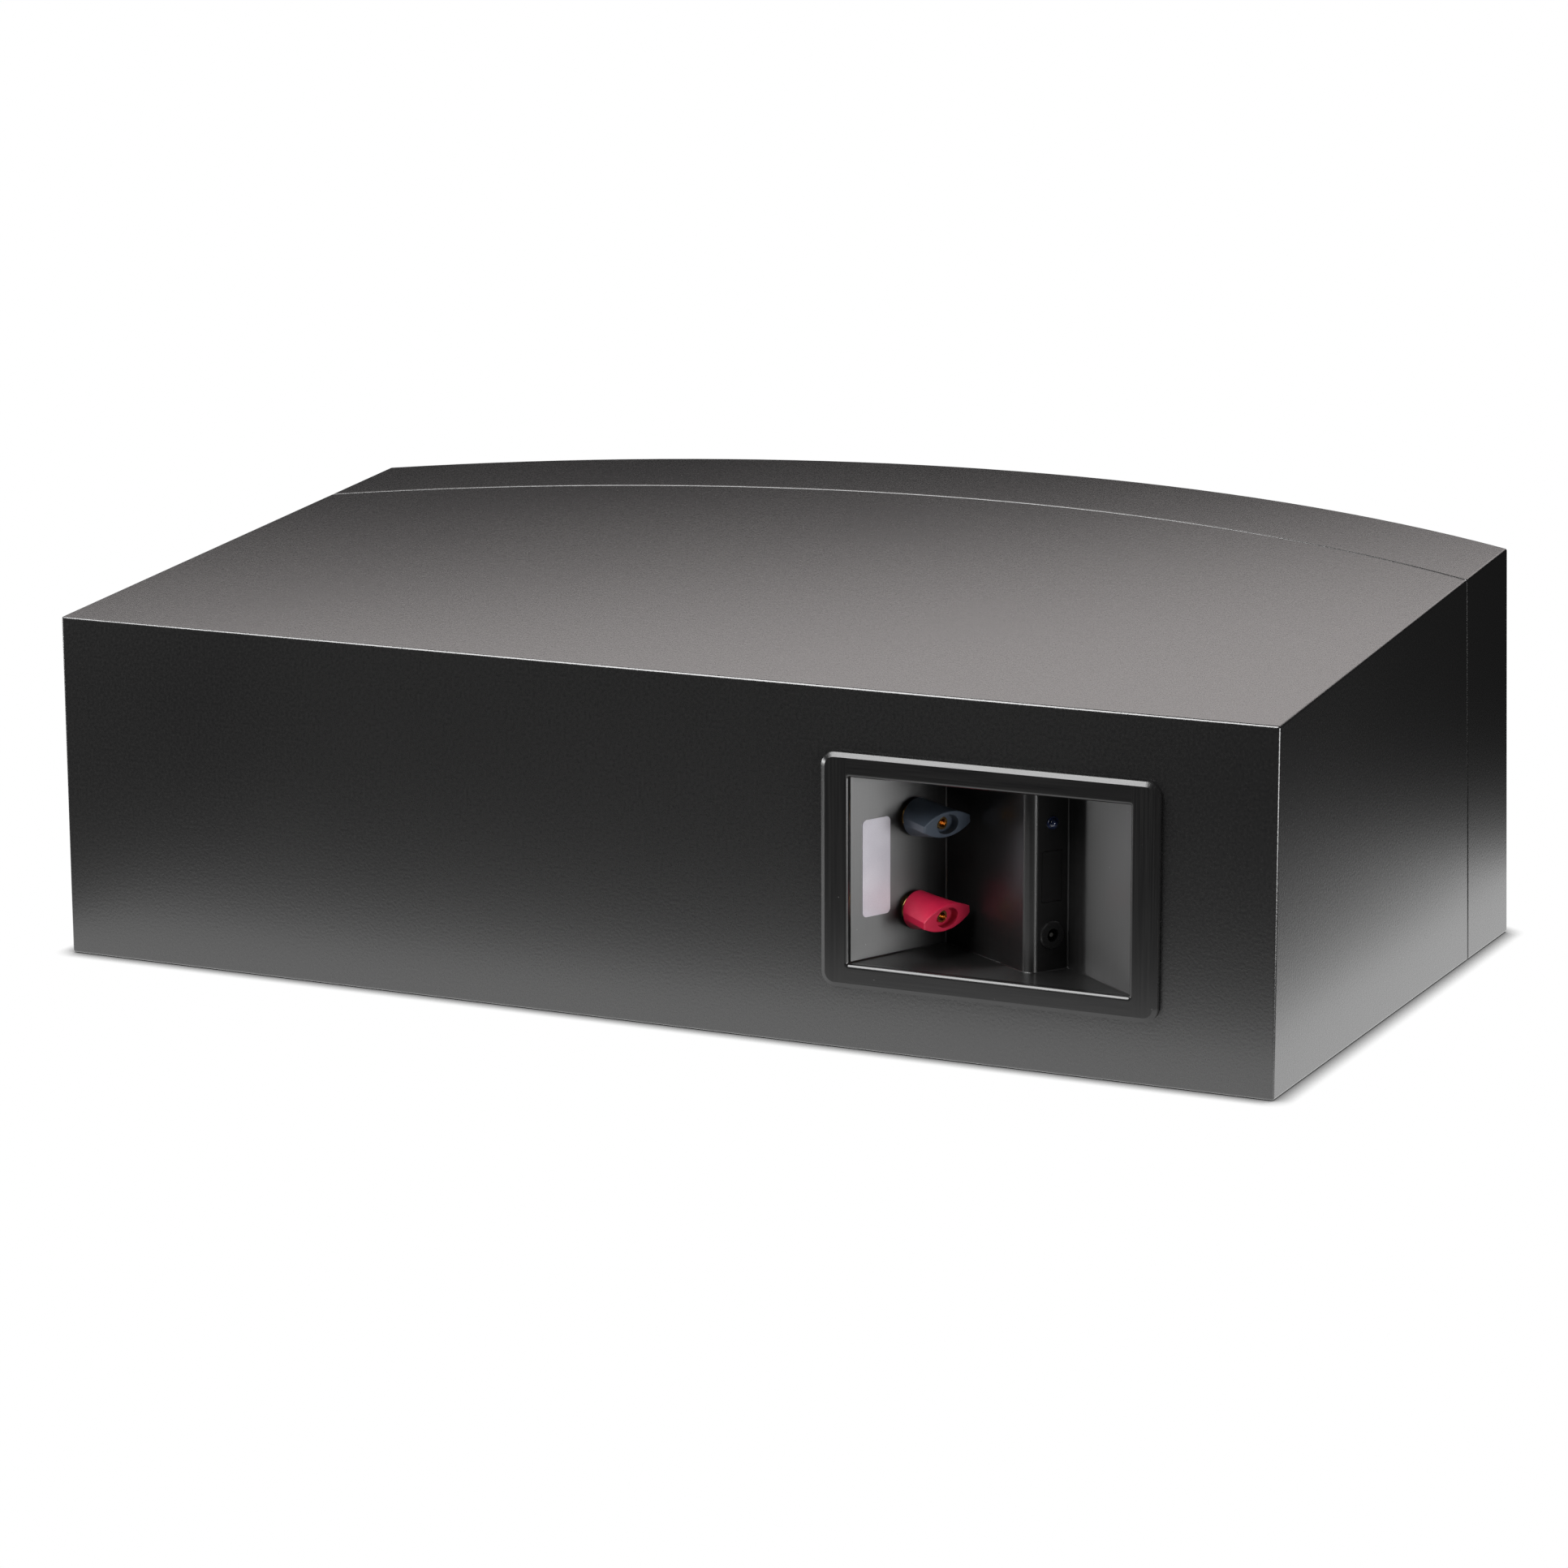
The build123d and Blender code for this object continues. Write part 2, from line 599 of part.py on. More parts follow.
def make_stator(front):
    """Bowed steel sheet with two rows of slots."""
    reach = math.degrees(math.asin((PANEL_HALF - SLOT_MARGIN) / front))
    slots = []
    for column in range(SLOT_COLUMNS):
        angle = reach * (2 * column / (SLOT_COLUMNS - 1) - 1)
        for row in (-1, 1):
            level = MID_LEVEL + row * (SLOT_TALL + SLOT_GAP) / 2
            slots.append(facing(angle, front, level) * Box(SLOT_WIDTH, SLOT_TALL, PANEL_BORDER))
    return panel_sheet(front, STATOR) - slots


def make_spacer(front):
    """Insulating border strip between a stator and the film."""
    return LEANING * bowed_ring(front, front - STATOR, PANEL_HALF, MID_LEVEL + PANEL_TALL / 2,
                                MID_LEVEL - PANEL_TALL / 2, PANEL_BORDER)


def make_clamp():
    """Frame behind the panel with a shoulder at each end that bolts to the baffle."""
    top = MID_LEVEL + PANEL_TALL / 2
    bottom = MID_LEVEL - PANEL_TALL / 2
    half = PANEL_HALF + CLAMP_EAR
    clamp = bowed_ring(CLAMP_FRONT, CLAMP_BACK, half, top, bottom, PANEL_BORDER + CLAMP_EAR / 2)
    shoulder = bowed_slab(BAFFLE_BACK, CLAMP_BACK, half, top, bottom)
    clamp += shoulder - leaning_box(PANEL_HALF + FIT, 0, -TALL)
    holes = [place * screw_hole(-CLAMP, PANEL_SCREW_LENGTH) for place in panel_screw_places()]
    return LEANING * clamp - holes


def make_panel_screws():
    """Screws of the clamp, heads at its back."""
    screw = Pos(0, 0, -SCREW_BITE) * Rot(180, 0, 0) * pan_screw(PANEL_SCREW_LENGTH)
    return [place * screw for place in panel_screw_places()]


# Terminal cup

def wall_place(start, end, along, level):
    """Place on a wall of the recess: z out of the wall, y up, x along it from its start."""
    run = Vector(end[0] - start[0], start[1] - end[1]).normalized()
    origin = Vector(CUP_X + start[0], REAR_Y - start[1], CUP_Z + level) + run * along
    return Plane(origin=origin, x_dir=run, z_dir=(run.Y, -run.X, 0)).location


def post_place(level):
    """Place of a binding post on the post wall."""
    return wall_place((RECESS_WIDE / 2, 0), POST_VALLEY, POST_LINE, level)


def jack_place(level):
    """Place of a fitting on the jack wall."""
    return wall_place(RIDGE, JACK_VALLEY, JACK_LINE, level)


def recess_plan(points):
    """Face in plan from (across, deep) points."""
    corners = [(CUP_X + across, REAR_Y - deep, 0) for across, deep in points]
    return make_face(Polyline(corners, close=True))


def rounded_corner(plan, corner, radius):
    """Round the plan's corner that lies at an (across, deep) point."""
    spot = Vector(CUP_X + corner[0], REAR_Y - corner[1], 0)
    return fillet(plan.vertices().sort_by_distance(spot)[:1], radius)


def rear_face(wide, tall, corner, low, high):
    """Rounded plate lying on the rear panel between two heights above it."""
    plane = Plane(origin=(CUP_X, REAR_Y + low, CUP_Z), x_dir=(1, 0, 0), z_dir=(0, 1, 0))
    return extrude(plane * RectangleRounded(wide, tall, corner), high - low)


def make_cup():
    """Moulded cup: bevelled flange and a recess whose floor plan zigzags like a W."""
    mouth = RECESS_WIDE / 2
    walls = [(mouth, 0), POST_VALLEY, RIDGE, JACK_VALLEY, (-mouth, 0)]
    past = CUP_GASKET + 2 * CUP_FLANGE
    hollow_plan = recess_plan([(mouth, -past)] + walls + [(-mouth, -past)])
    for corner, radius in ((RIDGE, RIDGE_ROUND), (POST_VALLEY, VALLEY_ROUND), (JACK_VALLEY, VALLEY_ROUND)):
        hollow_plan = rounded_corner(hollow_plan, corner, radius)
    hollow = Pos(0, 0, CUP_Z - RECESS_TALL / 2) * extrude(hollow_plan, RECESS_TALL)
    levels = hollow.edges().group_by(Axis.Z)
    hollow = fillet(levels[0] + levels[-1], FLOOR_ROUND)
    shell_tall = RECESS_TALL + 2 * CUP_WALL
    shell = extrude(offset(recess_plan(walls), CUP_WALL, kind=Kind.INTERSECTION), shell_tall)
    behind = (Align.CENTER, Align.MAX, Align.CENTER)
    reach = Box(RECESS_WIDE + 2 * CUP_WALL, 2 * DEPTH, 4 * TALL, align=behind)
    shell = Pos(0, 0, CUP_Z - shell_tall / 2) * shell
    shell &= Pos(CUP_X, REAR_Y + CUP_GASKET + CUP_FLANGE / 2, 0) * reach
    flange = rear_face(CUP_FLANGE_WIDE, CUP_FLANGE_TALL, CUP_CORNER, CUP_GASKET, CUP_GASKET + CUP_FLANGE)
    outward = flange.faces().sort_by(Axis.Y)[-1]
    flange = chamfer(outward.edges(), CUP_BEVEL, CUP_BEVEL_DEEP, reference=outward)
    cup = flange + shell + cup_hooks(shell_tall / 2) - hollow
    lip = cup.faces().filter_by(Plane.XZ).sort_by(Axis.Y)[-1].inner_wires()[0]
    cup = fillet(lip.edges(), LIP_ROUND)
    return cup - cup_holes()


def cup_hooks(half_tall):
    """Snap hooks above and below the two valleys that catch behind the rear panel."""
    near = REAR_Y - PANEL - FIT
    profile = Polyline([(0, near, 0), (0, near, HOOK_RISE), (0, near - HOOK_LONG, 0)], close=True)
    hook = extrude(make_face(profile), HOOK_WIDE / 2, dir=(1, 0, 0), both=True)
    hooks = []
    for across in (POST_VALLEY[0], JACK_VALLEY[0]):
        hooks.append(Pos(CUP_X + across, 0, CUP_Z + half_tall) * hook)
        hooks.append(Pos(CUP_X + across, 0, CUP_Z - half_tall) * mirror(hook, Plane.XY))
    return hooks


def cup_holes():
    """Holes through the walls for the posts, the jack and the lamp, and the blank's pocket."""
    through = (-2 * CUP_WALL, CUP_WALL)
    levels = (RED_POST_DROP, DARK_POST_RISE)
    holes = [post_place(level) * disc(STUD_RADIUS + SNUG, *through) for level in levels]
    holes.append(jack_place(JACK_DROP) * disc(JACK_BODY_RADIUS + SNUG, *through))
    holes.append(jack_place(LED_RISE) * disc(LED_RADIUS + SNUG, *through))
    pocket = Box(BLANK_WIDE + 2 * BLANK_GAP, BLANK_TALL + 2 * BLANK_GAP, 2 * BLANK_PLATE)
    holes.append(jack_place(BLANK_RISE) * pocket)
    return holes


def knob_section(half_wide, half_thick, level):
    """Oval section of a knob: two bowed cheeks between short upright wing ends."""
    end = KNOB_WING / 2
    upper = ThreePointArc((-half_wide, end), (0, half_thick), (half_wide, end))
    lower = ThreePointArc((half_wide, -end), (0, -half_thick), (-half_wide, -end))
    ends = [Line(upper @ 1, lower @ 0), Line(lower @ 1, upper @ 0)]
    return Pos(0, 0, level) * make_face([upper, lower] + ends)


def make_knob(turn):
    """Winged thumb knob: round at its foot, flattened to a pointed oval at its tip."""
    foot_half = math.sqrt(KNOB_BASE_RADIUS ** 2 - (KNOB_WING / 2) ** 2)
    foot = knob_section(foot_half, KNOB_BASE_RADIUS, 0)
    tip = knob_section(KNOB_TIP_RADIUS, KNOB_TIP_THICK / 2, KNOB_LENGTH)
    knob = loft([foot, tip], ruled=True)
    knob = fillet(knob.edges().group_by(Axis.Z)[-1], KNOB_ROUND)
    mouth = extrude(Ellipse(KNOB_MOUTH_REACH, KNOB_MOUTH_RADIUS), 2 * KNOB_LENGTH)
    knob -= Pos(0, 0, KNOB_LENGTH - KNOB_MOUTH) * mouth
    knob -= disc(STUD_RADIUS + RUNNING_FIT, -KNOB_LENGTH, KNOB_LENGTH)
    rim = knob.edges().filter_by(GeomType.ELLIPSE).sort_by(Axis.Z)[-1]
    return Pos(0, 0, KNOB_LEVEL) * Rot(0, 0, turn) * chamfer(rim, KNOB_MOUTH_EASE)


def make_stud():
    """Gold-plated post: shoulder on the wall, threaded shank, bored for a banana plug."""
    tip = KNOB_LEVEL + KNOB_LENGTH - STUD_SUNK
    stud = disc(STUD_SHOULDER_RADIUS, 0, STUD_SHOULDER) + disc(STUD_RADIUS, -STUD_TAIL, tip)
    return stud - disc(STUD_BORE, tip - STUD_BORE_DEPTH, tip + STUD_BORE)


def make_tag():
    """Solder tag under the post's nut."""
    tongue = Pos(TAG_REACH / 2, 0) * SlotOverall(TAG_REACH + TAG_RADIUS, TAG_RADIUS)
    tag = extrude(Circle(TAG_RADIUS) + tongue - Circle(STUD_RADIUS + SCREW_BITE), TAG)
    return Pos(0, 0, -CUP_WALL - TAG) * tag


def make_nut():
    """Hexagon nut behind the solder tag."""
    nut = RegularPolygon(NUT_FLATS / 2, 6, major_radius=False) - Circle(STUD_RADIUS + SCREW_BITE)
    return Pos(0, 0, -CUP_WALL - TAG - NUT) * extrude(nut, NUT)


def make_jack():
    """Round power socket with a thin flange."""
    jack = chamfer(disc(JACK_FLANGE_RADIUS, 0, JACK_FLANGE).edges().sort_by(Axis.Z)[-1], JACK_FLANGE / 3)
    jack += disc(JACK_BODY_RADIUS, -JACK_BODY, 0)
    return jack - disc(JACK_MOUTH_RADIUS, JACK_FLANGE - JACK_MOUTH, 2 * JACK_FLANGE)


def make_led():
    """Round indicator lamp with a collar and a domed lens."""
    lamp = disc(LED_RADIUS, -LED_BODY, LED_COLLAR) + disc(LED_COLLAR_RADIUS, 0, LED_COLLAR)
    return lamp + Pos(0, 0, LED_COLLAR) * Sphere(LED_RADIUS - SNUG)


# Crossover, supply and damping inside

def on_board(x, y, piece):
    """A component standing on the crossover board."""
    return Pos(BOARD_X + x, BOARD_Y + y, PANEL + STANDOFF + BOARD) * piece


def upright_coil(size):
    """Coil of wire wound on a round bobbin, standing on its end."""
    outer, inner, tall = size
    return tube(outer, inner, 0, tall)


def make_capacitors():
    """Film capacitors lying side by side on the board."""
    can = Rot(0, 90, 0) * Cylinder(CAPACITOR_RADIUS, CAPACITOR_LONG)
    can = Pos(0, 0, CAPACITOR_RADIUS + SCREW_BITE) * can
    rows = [CAPACITOR_PITCH * (row + 1) - BOARD_DEEP / 2 for row in range(CAPACITORS)]
    return [on_board(CAPACITOR_X, row, can) for row in rows]


def make_resistors():
    """Two cement resistors behind the capacitors."""
    long, deep, tall = RESISTOR
    block = Pos(0, 0, tall / 2) * Box(long, deep, tall)
    return [on_board(x, BOARD_DEEP / 2 - BOARD_INSET - deep, block) for x in (0, CAPACITOR_X)]


def make_standoffs():
    """Four pillars that carry the board on the cabinet floor."""
    pillars = GridLocations(BOARD_WIDE - 2 * BOARD_INSET, BOARD_DEEP - 2 * BOARD_INSET, 2, 2)
    return [Pos(BOARD_X, BOARD_Y, PANEL) * loc * disc(STANDOFF_RADIUS, 0, STANDOFF) for loc in pillars]


def make_transformer():
    """Step-up transformer: laminated core with its winding bulging front and back."""
    wide, deep, tall = TRANSFORMER
    winding = Box(wide / 2, deep + 2 * WINDING_BULGE, WINDING_TALL)
    winding = fillet(winding.edges().filter_by(Axis.Z), WINDING_BULGE / 2)
    foot = Pos(0, 0, (CORE_FOOT - tall) / 2) * Box(CORE_FOOT_WIDE, deep, CORE_FOOT)
    place = Pos(TRANSFORMER_X, REAR_Y - TRANSFORMER_FROM_REAR, PANEL + tall / 2)
    return place * (Box(wide, deep, tall) + winding + foot)


def make_bias_box():
    """Potted high-voltage bias supply on the cabinet floor."""
    wide, deep, tall = BIAS_BOX
    box = Box(wide, deep, tall)
    box = fillet(box.edges().filter_by(Axis.Z), BIAS_CORNER)
    return Pos(BIAS_X, REAR_Y - BIAS_FROM_REAR, PANEL + tall / 2) * box


def make_wadding():
    """Pad of damping wool on the inside of the rear panel."""
    room = WIDTH / 2 - PANEL - BRACE / 2
    pad = Box(room - 2 * WADDING_CLEAR, WADDING, WADDING_TALL)
    middle = REAR_HEIGHT - PANEL - WADDING_TALL / 2 - WADDING_DROP
    return Pos((BRACE + room) / 2, REAR_Y - PANEL - WADDING / 2, middle) * pad


def make_post_wire(level, from_rear):
    """Wire from a post's solder tag through the brace's window to the crossover board."""
    place = post_place(level)
    tag = (place * Pos(WIRE_ON_TAG, 0, -CUP_WALL - TAG)).position
    away = (place * Pos(WIRE_ON_TAG, 0, -CUP_WALL - TAG - WIRE_LEAD)).position
    board_top = PANEL + STANDOFF + BOARD
    board_x = BOARD_X - BOARD_WIDE / 2 + 2 * BOARD_INSET
    middle = (0, REAR_Y - from_rear, CUP_Z + level / 2)
    over = (board_x, REAR_Y - from_rear, board_top + WIRE_LEAD)
    foot = (board_x, REAR_Y - from_rear, board_top)
    return wire([tag, away, middle, over, foot])


# The assembly

block = outer_block()
nodes["cabinet"] = make_cabinet(block)
nodes["cabinet_brace"] = make_brace()
nodes["front_frame"] = make_frame(block)
nodes["driver_baffle"] = make_baffle()
nodes["baffle_screws"] = [place * pan_screw(SCREW_LENGTH) for place in baffle_screw_places()]
nodes["grille_frame"] = make_grille_frame()
nodes["grille_cloth"] = make_cloth()
nodes["grille_cups"] = make_grille_cups()

make_woofer("right_woofer", 1)
make_woofer("left_woofer", -1)
nodes["woofer_screws"] = make_woofer_screws()

nodes["front_stator"] = make_stator(FRONT_STATOR)
nodes["rear_stator"] = make_stator(REAR_STATOR)
nodes["diaphragm"] = panel_sheet(FILM_FRONT, FILM)
nodes["panel_spacers"] = [make_spacer(FRONT_SPACER), make_spacer(REAR_SPACER)]
nodes["panel_clamp"] = make_clamp()
nodes["panel_screws"] = make_panel_screws()

nodes["terminal_cup"] = make_cup()
gasket = rear_face(CUP_FLANGE_WIDE - CUP_BEVEL, CUP_FLANGE_TALL - CUP_BEVEL, CUP_CORNER, 0, CUP_GASKET)
nodes["cup_gasket"] = gasket - Pos(CUP_X, REAR_Y, CUP_Z) * Box(CUTOUT_WIDE, PANEL, CUTOUT_TALL)
label_middle = LABEL_START + LABEL_WIDE / 2
label = extrude(RectangleRounded(LABEL_WIDE, LABEL_TALL, LABEL_CORNER), LABEL)
nodes["bare_label"] = wall_place((RECESS_WIDE / 2, 0), POST_VALLEY, label_middle, LABEL_RISE) * label
blank = Pos(0, 0, -BLANK_PLATE / 2) * Box(BLANK_WIDE, BLANK_TALL, BLANK_PLATE)
nodes["blank_plate"] = jack_place(BLANK_RISE) * blank
nodes["power_lamp"] = jack_place(LED_RISE) * make_led()
nodes["power_jack"] = jack_place(JACK_DROP) * make_jack()
pin = disc(JACK_PIN_RADIUS, JACK_FLANGE - JACK_MOUTH, 0)
nodes["power_jack_pin"] = jack_place(JACK_DROP) * pin
jack_nut = tube(JACK_NUT_RADIUS, JACK_BODY_RADIUS + SCREW_BITE, -CUP_WALL - JACK_NUT, -CUP_WALL)
nodes["power_jack_nut"] = jack_place(JACK_DROP) * jack_nut

washer_low = STUD_SHOULDER + FIT
washer = tube(WASHER_RADIUS, STUD_RADIUS + RUNNING_FIT, washer_low, washer_low + WASHER)
posts = (("red", RED_POST_DROP, RED_POST_TURN), ("dark", DARK_POST_RISE, DARK_POST_TURN))
for colour, level, turn in posts:
    nodes[f"{colour}_post_stud"] = post_place(level) * make_stud()
    nodes[f"{colour}_post_washer"] = post_place(level) * washer
    nodes[f"{colour}_post_knob"] = post_place(level) * make_knob(turn)
nodes["post_tags"] = [post_place(level) * make_tag() for colour, level, turn in posts]
nodes["post_nuts"] = [post_place(level) * make_nut() for colour, level, turn in posts]

board = Pos(BOARD_X, BOARD_Y, PANEL + STANDOFF + BOARD / 2) * Box(BOARD_WIDE, BOARD_DEEP, BOARD)
nodes["crossover_board"] = board
nodes["board_standoffs"] = make_standoffs()
nodes["woofer_coil"] = on_board(BIG_COIL_X, COIL_Y, upright_coil(BIG_COIL))
nodes["panel_coil"] = on_board(SMALL_COIL_X, COIL_Y, upright_coil(SMALL_COIL))
nodes["crossover_capacitors"] = make_capacitors()
nodes["crossover_resistors"] = make_resistors()
nodes["step_up_transformer"] = make_transformer()
nodes["bias_supply"] = make_bias_box()
nodes["damping_pad"] = make_wadding()
nodes["red_post_wire"] = make_post_wire(RED_POST_DROP, RED_WIRE_FROM_REAR)
nodes["dark_post_wire"] = make_post_wire(DARK_POST_RISE, DARK_WIRE_FROM_REAR)

os.makedirs("parts", exist_ok=True)
for name, shape in nodes.items():
    whole = Compound(children=list(shape)) if isinstance(shape, list) else shape
    export_step(whole, f"parts/{name}.step")
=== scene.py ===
import math

import bpy
import numpy as np
from mathutils import Matrix, Vector


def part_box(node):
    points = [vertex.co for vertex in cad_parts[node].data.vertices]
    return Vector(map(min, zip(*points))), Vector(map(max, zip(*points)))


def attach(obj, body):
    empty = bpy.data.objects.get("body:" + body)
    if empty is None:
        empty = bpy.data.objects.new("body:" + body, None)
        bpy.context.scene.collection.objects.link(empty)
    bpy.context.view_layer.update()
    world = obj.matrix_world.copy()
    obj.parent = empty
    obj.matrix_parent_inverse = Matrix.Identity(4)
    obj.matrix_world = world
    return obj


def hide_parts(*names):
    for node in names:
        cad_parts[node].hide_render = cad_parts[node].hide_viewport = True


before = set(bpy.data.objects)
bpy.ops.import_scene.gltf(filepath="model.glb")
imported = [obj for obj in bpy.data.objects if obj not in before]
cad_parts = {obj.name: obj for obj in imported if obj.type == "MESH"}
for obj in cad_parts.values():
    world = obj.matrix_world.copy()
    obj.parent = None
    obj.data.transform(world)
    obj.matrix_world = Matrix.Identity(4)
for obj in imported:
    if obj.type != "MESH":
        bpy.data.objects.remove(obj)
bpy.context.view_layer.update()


# Cabinet and front band
# Fibreboard panels glued into a wedge-topped box, and a bowed band across the front that meets it
# along a fine seam. Both are sprayed with satin black lacquer, which dries with a fine pebbled grain.

class Signal:
    """One output of a material's nodes. Sums and products of signals and numbers add Math nodes."""

    def __init__(self, tree, socket):
        self.tree = tree
        self.socket = socket

    def node(self, kind, settings, sockets, out=0):
        """Add a node of a kind, set its settings, then fill its sockets with numbers or links."""
        made = self.tree.nodes.new("ShaderNode" + kind)
        for name, value in settings.items():
            setattr(made, name, value)
        for name, value in sockets.items():
            if isinstance(value, Signal):
                self.tree.links.new(value.socket, made.inputs[name])
            else:
                made.inputs[name].default_value = value
        return Signal(self.tree, made.outputs[out])

    def math(self, operation, *others):
        """Math node whose first value is this signal."""
        return self.node("Math", {"operation": operation}, dict(enumerate((self,) + others)))

    def __add__(self, other):
        return self.math("ADD", other)

    def __sub__(self, other):
        return self.math("SUBTRACT", other)

    def __rsub__(self, other):
        return self.node("Math", {"operation": "SUBTRACT"}, {0: other, 1: self})

    def __mul__(self, other):
        return self.math("MULTIPLY", other)

    def __pow__(self, other):
        return self.math("POWER", other)

    __radd__ = __add__
    __rmul__ = __mul__

    def axis(self, name):
        """One coordinate of a vector."""
        return self.node("SeparateXYZ", {}, {0: self}, name)

    def moved(self, offset):
        """A vector less an offset."""
        return self.node("VectorMath", {"operation": "SUBTRACT"}, {0: self, 1: offset})

    def stretched(self, factors):
        """A vector with each coordinate multiplied by its own factor."""
        return self.node("VectorMath", {"operation": "MULTIPLY"}, {0: self, 1: factors})

    def along(self, direction):
        """How far a vector reaches along a direction."""
        return self.node("VectorMath", {"operation": "DOT_PRODUCT"}, {0: self, 1: direction}, "Value")

    def noise(self, scale, detail=2.0, rough=0.5):
        """Cloudy noise about 0.5, whose blobs are 1 / scale metres across."""
        return self.node("TexNoise", {}, {
            "Vector": self, "Scale": scale, "Detail": detail, "Roughness": rough})

    def cells(self, scale):
        """Distance from the nearest of many scattered points, 1 / scale metres apart."""
        return self.node("TexVoronoi", {}, {"Vector": self, "Scale": scale})

    def between(self, low, high):
        """How far a signal is from low to high, kept from 0 to 1."""
        return self.node("MapRange", {}, {0: self, 1: low, 2: high})

    def tint(self, low, high):
        """Colour mixed from low, where the signal is 0, to high, where it is 1."""
        return self.node("Mix", {"data_type": "RGBA"}, {0: self, 6: low, 7: high}, 2)

    def relief(self, strength, depth):
        """Normal of a surface raised by this signal times a depth in metres."""
        return self.node("Bump", {}, {"Height": self, "Strength": strength, "Distance": depth})


def start_finish(name, sockets):
    """New material: the material, its Object coordinates, and its shader with constant sockets set."""
    material = bpy.data.materials.new(name)
    material.use_nodes = True
    tree = material.node_tree
    shader = tree.nodes["Principled BSDF"]
    for socket, value in sockets.items():
        shader.inputs[socket].default_value = value
    place = Signal(tree, tree.nodes.new("ShaderNodeTexCoord").outputs["Object"])
    return material, place, shader


def lay(shader, signals):
    """Link signals to a shader's sockets."""
    for socket, signal in signals.items():
        signal.tree.links.new(signal.socket, shader.inputs[socket])


def dress(material, *names):
    """Give a material to CAD nodes."""
    for name in names:
        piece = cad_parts[name]
        piece.data.materials.clear()
        piece.data.materials.append(material)


LACQUER_DARK = (0.0065, 0.0065, 0.0067, 1)
LACQUER_PALE = (0.0150, 0.0147, 0.0145, 1)
PEBBLE_SCALE = 720.0
PEBBLE_DEPTH = 0.00035
DRIFT_SCALE = 6.0

satin_lacquer, place, shader = start_finish("satin_lacquer", {
    "IOR": 1.8, "Coat Weight": 0.7, "Coat Roughness": 0.24, "Coat IOR": 1.5})
pebbles = place.noise(PEBBLE_SCALE, 2.0, 0.6)
drift = place.noise(DRIFT_SCALE, 3.0)
grain = (pebbles * 0.8 + drift * 0.2).between(0.32, 0.68)
lay(shader, {
    "Base Color": grain.tint(LACQUER_DARK, LACQUER_PALE),
    "Roughness": 0.22 + 0.04 * drift + 0.06 * pebbles,
    "Normal": pebbles.relief(0.3, PEBBLE_DEPTH),
})
dress(satin_lacquer, "cabinet", "front_frame")


# Brace, driver baffle and their screws
# A raw fibreboard rib ties the cabinet's top to its floor. The bowed baffle is the same board,
# stained matt black, and black oxide screws hold it to the front band.

def mottled(name, dark, pale, scale, rough, depth, **constants):
    """Finish whose colour, roughness and relief follow one cloudy noise. Constants name sockets."""
    sockets = {socket.replace("_", " ").title(): value for socket, value in constants.items()}
    material, place, shader = start_finish(name, sockets)
    cloud = place.noise(scale, 4.0, 0.6)
    lay(shader, {
        "Base Color": cloud.between(0.3, 0.7).tint(dark + (1,), pale + (1,)),
        "Roughness": (rough - 0.08) + 0.16 * cloud,
        "Normal": cloud.relief(0.4, depth),
    })
    return material


raw_fibreboard = mottled("raw_fibreboard", (0.26, 0.18, 0.11), (0.46, 0.35, 0.23),
                         scale=260.0, rough=0.8, depth=0.0003)
dress(raw_fibreboard, "cabinet_brace")
stained_board = mottled("stained_board", (0.008, 0.008, 0.008), (0.022, 0.021, 0.020),
                        scale=420.0, rough=0.75, depth=0.0002)
dress(stained_board, "driver_baffle")
black_oxide = mottled("black_oxide", (0.02, 0.02, 0.021), (0.07, 0.068, 0.066),
                      scale=1300.0, rough=0.38, depth=0.00004, metallic=0.85)
dress(black_oxide, "baffle_screws", "woofer_screws", "panel_screws")


# Grille
# A moulded frame bowed to the baffle's curve, pressed into rubber cups on four pegs. Black knitted
# cloth is stretched over its face and turned back round its edge.

PLASTIC_DARK = (0.010, 0.010, 0.0105)
PLASTIC_PALE = (0.024, 0.024, 0.0235)
grille_plastic = mottled("grille_plastic", PLASTIC_DARK, PLASTIC_PALE, scale=900.0, rough=0.55, depth=0.00008)
dress(grille_plastic, "grille_frame")
soft_rubber = mottled("soft_rubber", (0.008, 0.008, 0.008), (0.024, 0.023, 0.022),
                      scale=700.0, rough=0.7, depth=0.00008)
dress(soft_rubber, "grille_cups")

CLOTH_RADIUS = 0.64264
CLOTH_CENTRE = 0.22414
CLOTH_HALF_WIDE = 0.3087
CLOTH_LEVELS = (-0.1817, -0.0163)
CLOTH_TURN = 0.0009
CLOTH_LEAN = math.radians(5.1)
CLOTH_STEPS = (150, 44)
TURN_STEPS = 6
TOP_REAR_EDGE = (0.0, 0.216699, 0.174)


def turned_back(reach, half):
    """Straight up to half less the turn's radius, then a quarter turn back. Gives along and back."""
    beyond = np.clip(np.abs(reach) - (half - CLOTH_TURN), 0.0, CLOTH_TURN * math.pi / 2) / CLOTH_TURN
    along = np.minimum(np.abs(reach), half - CLOTH_TURN) + CLOTH_TURN * np.sin(beyond)
    return np.sign(reach) * along, CLOTH_TURN * (1 - np.cos(beyond))


def edged(half, count):
    """Evenly spaced values from end to end, with close steps over the quarter turn at each end."""
    end = half - CLOTH_TURN + CLOTH_TURN * math.pi / 2
    edge = np.linspace(half - CLOTH_TURN, end, TURN_STEPS)
    return np.concatenate([-edge[::-1], np.linspace(-edge[0], edge[0], count)[1:-1], edge])


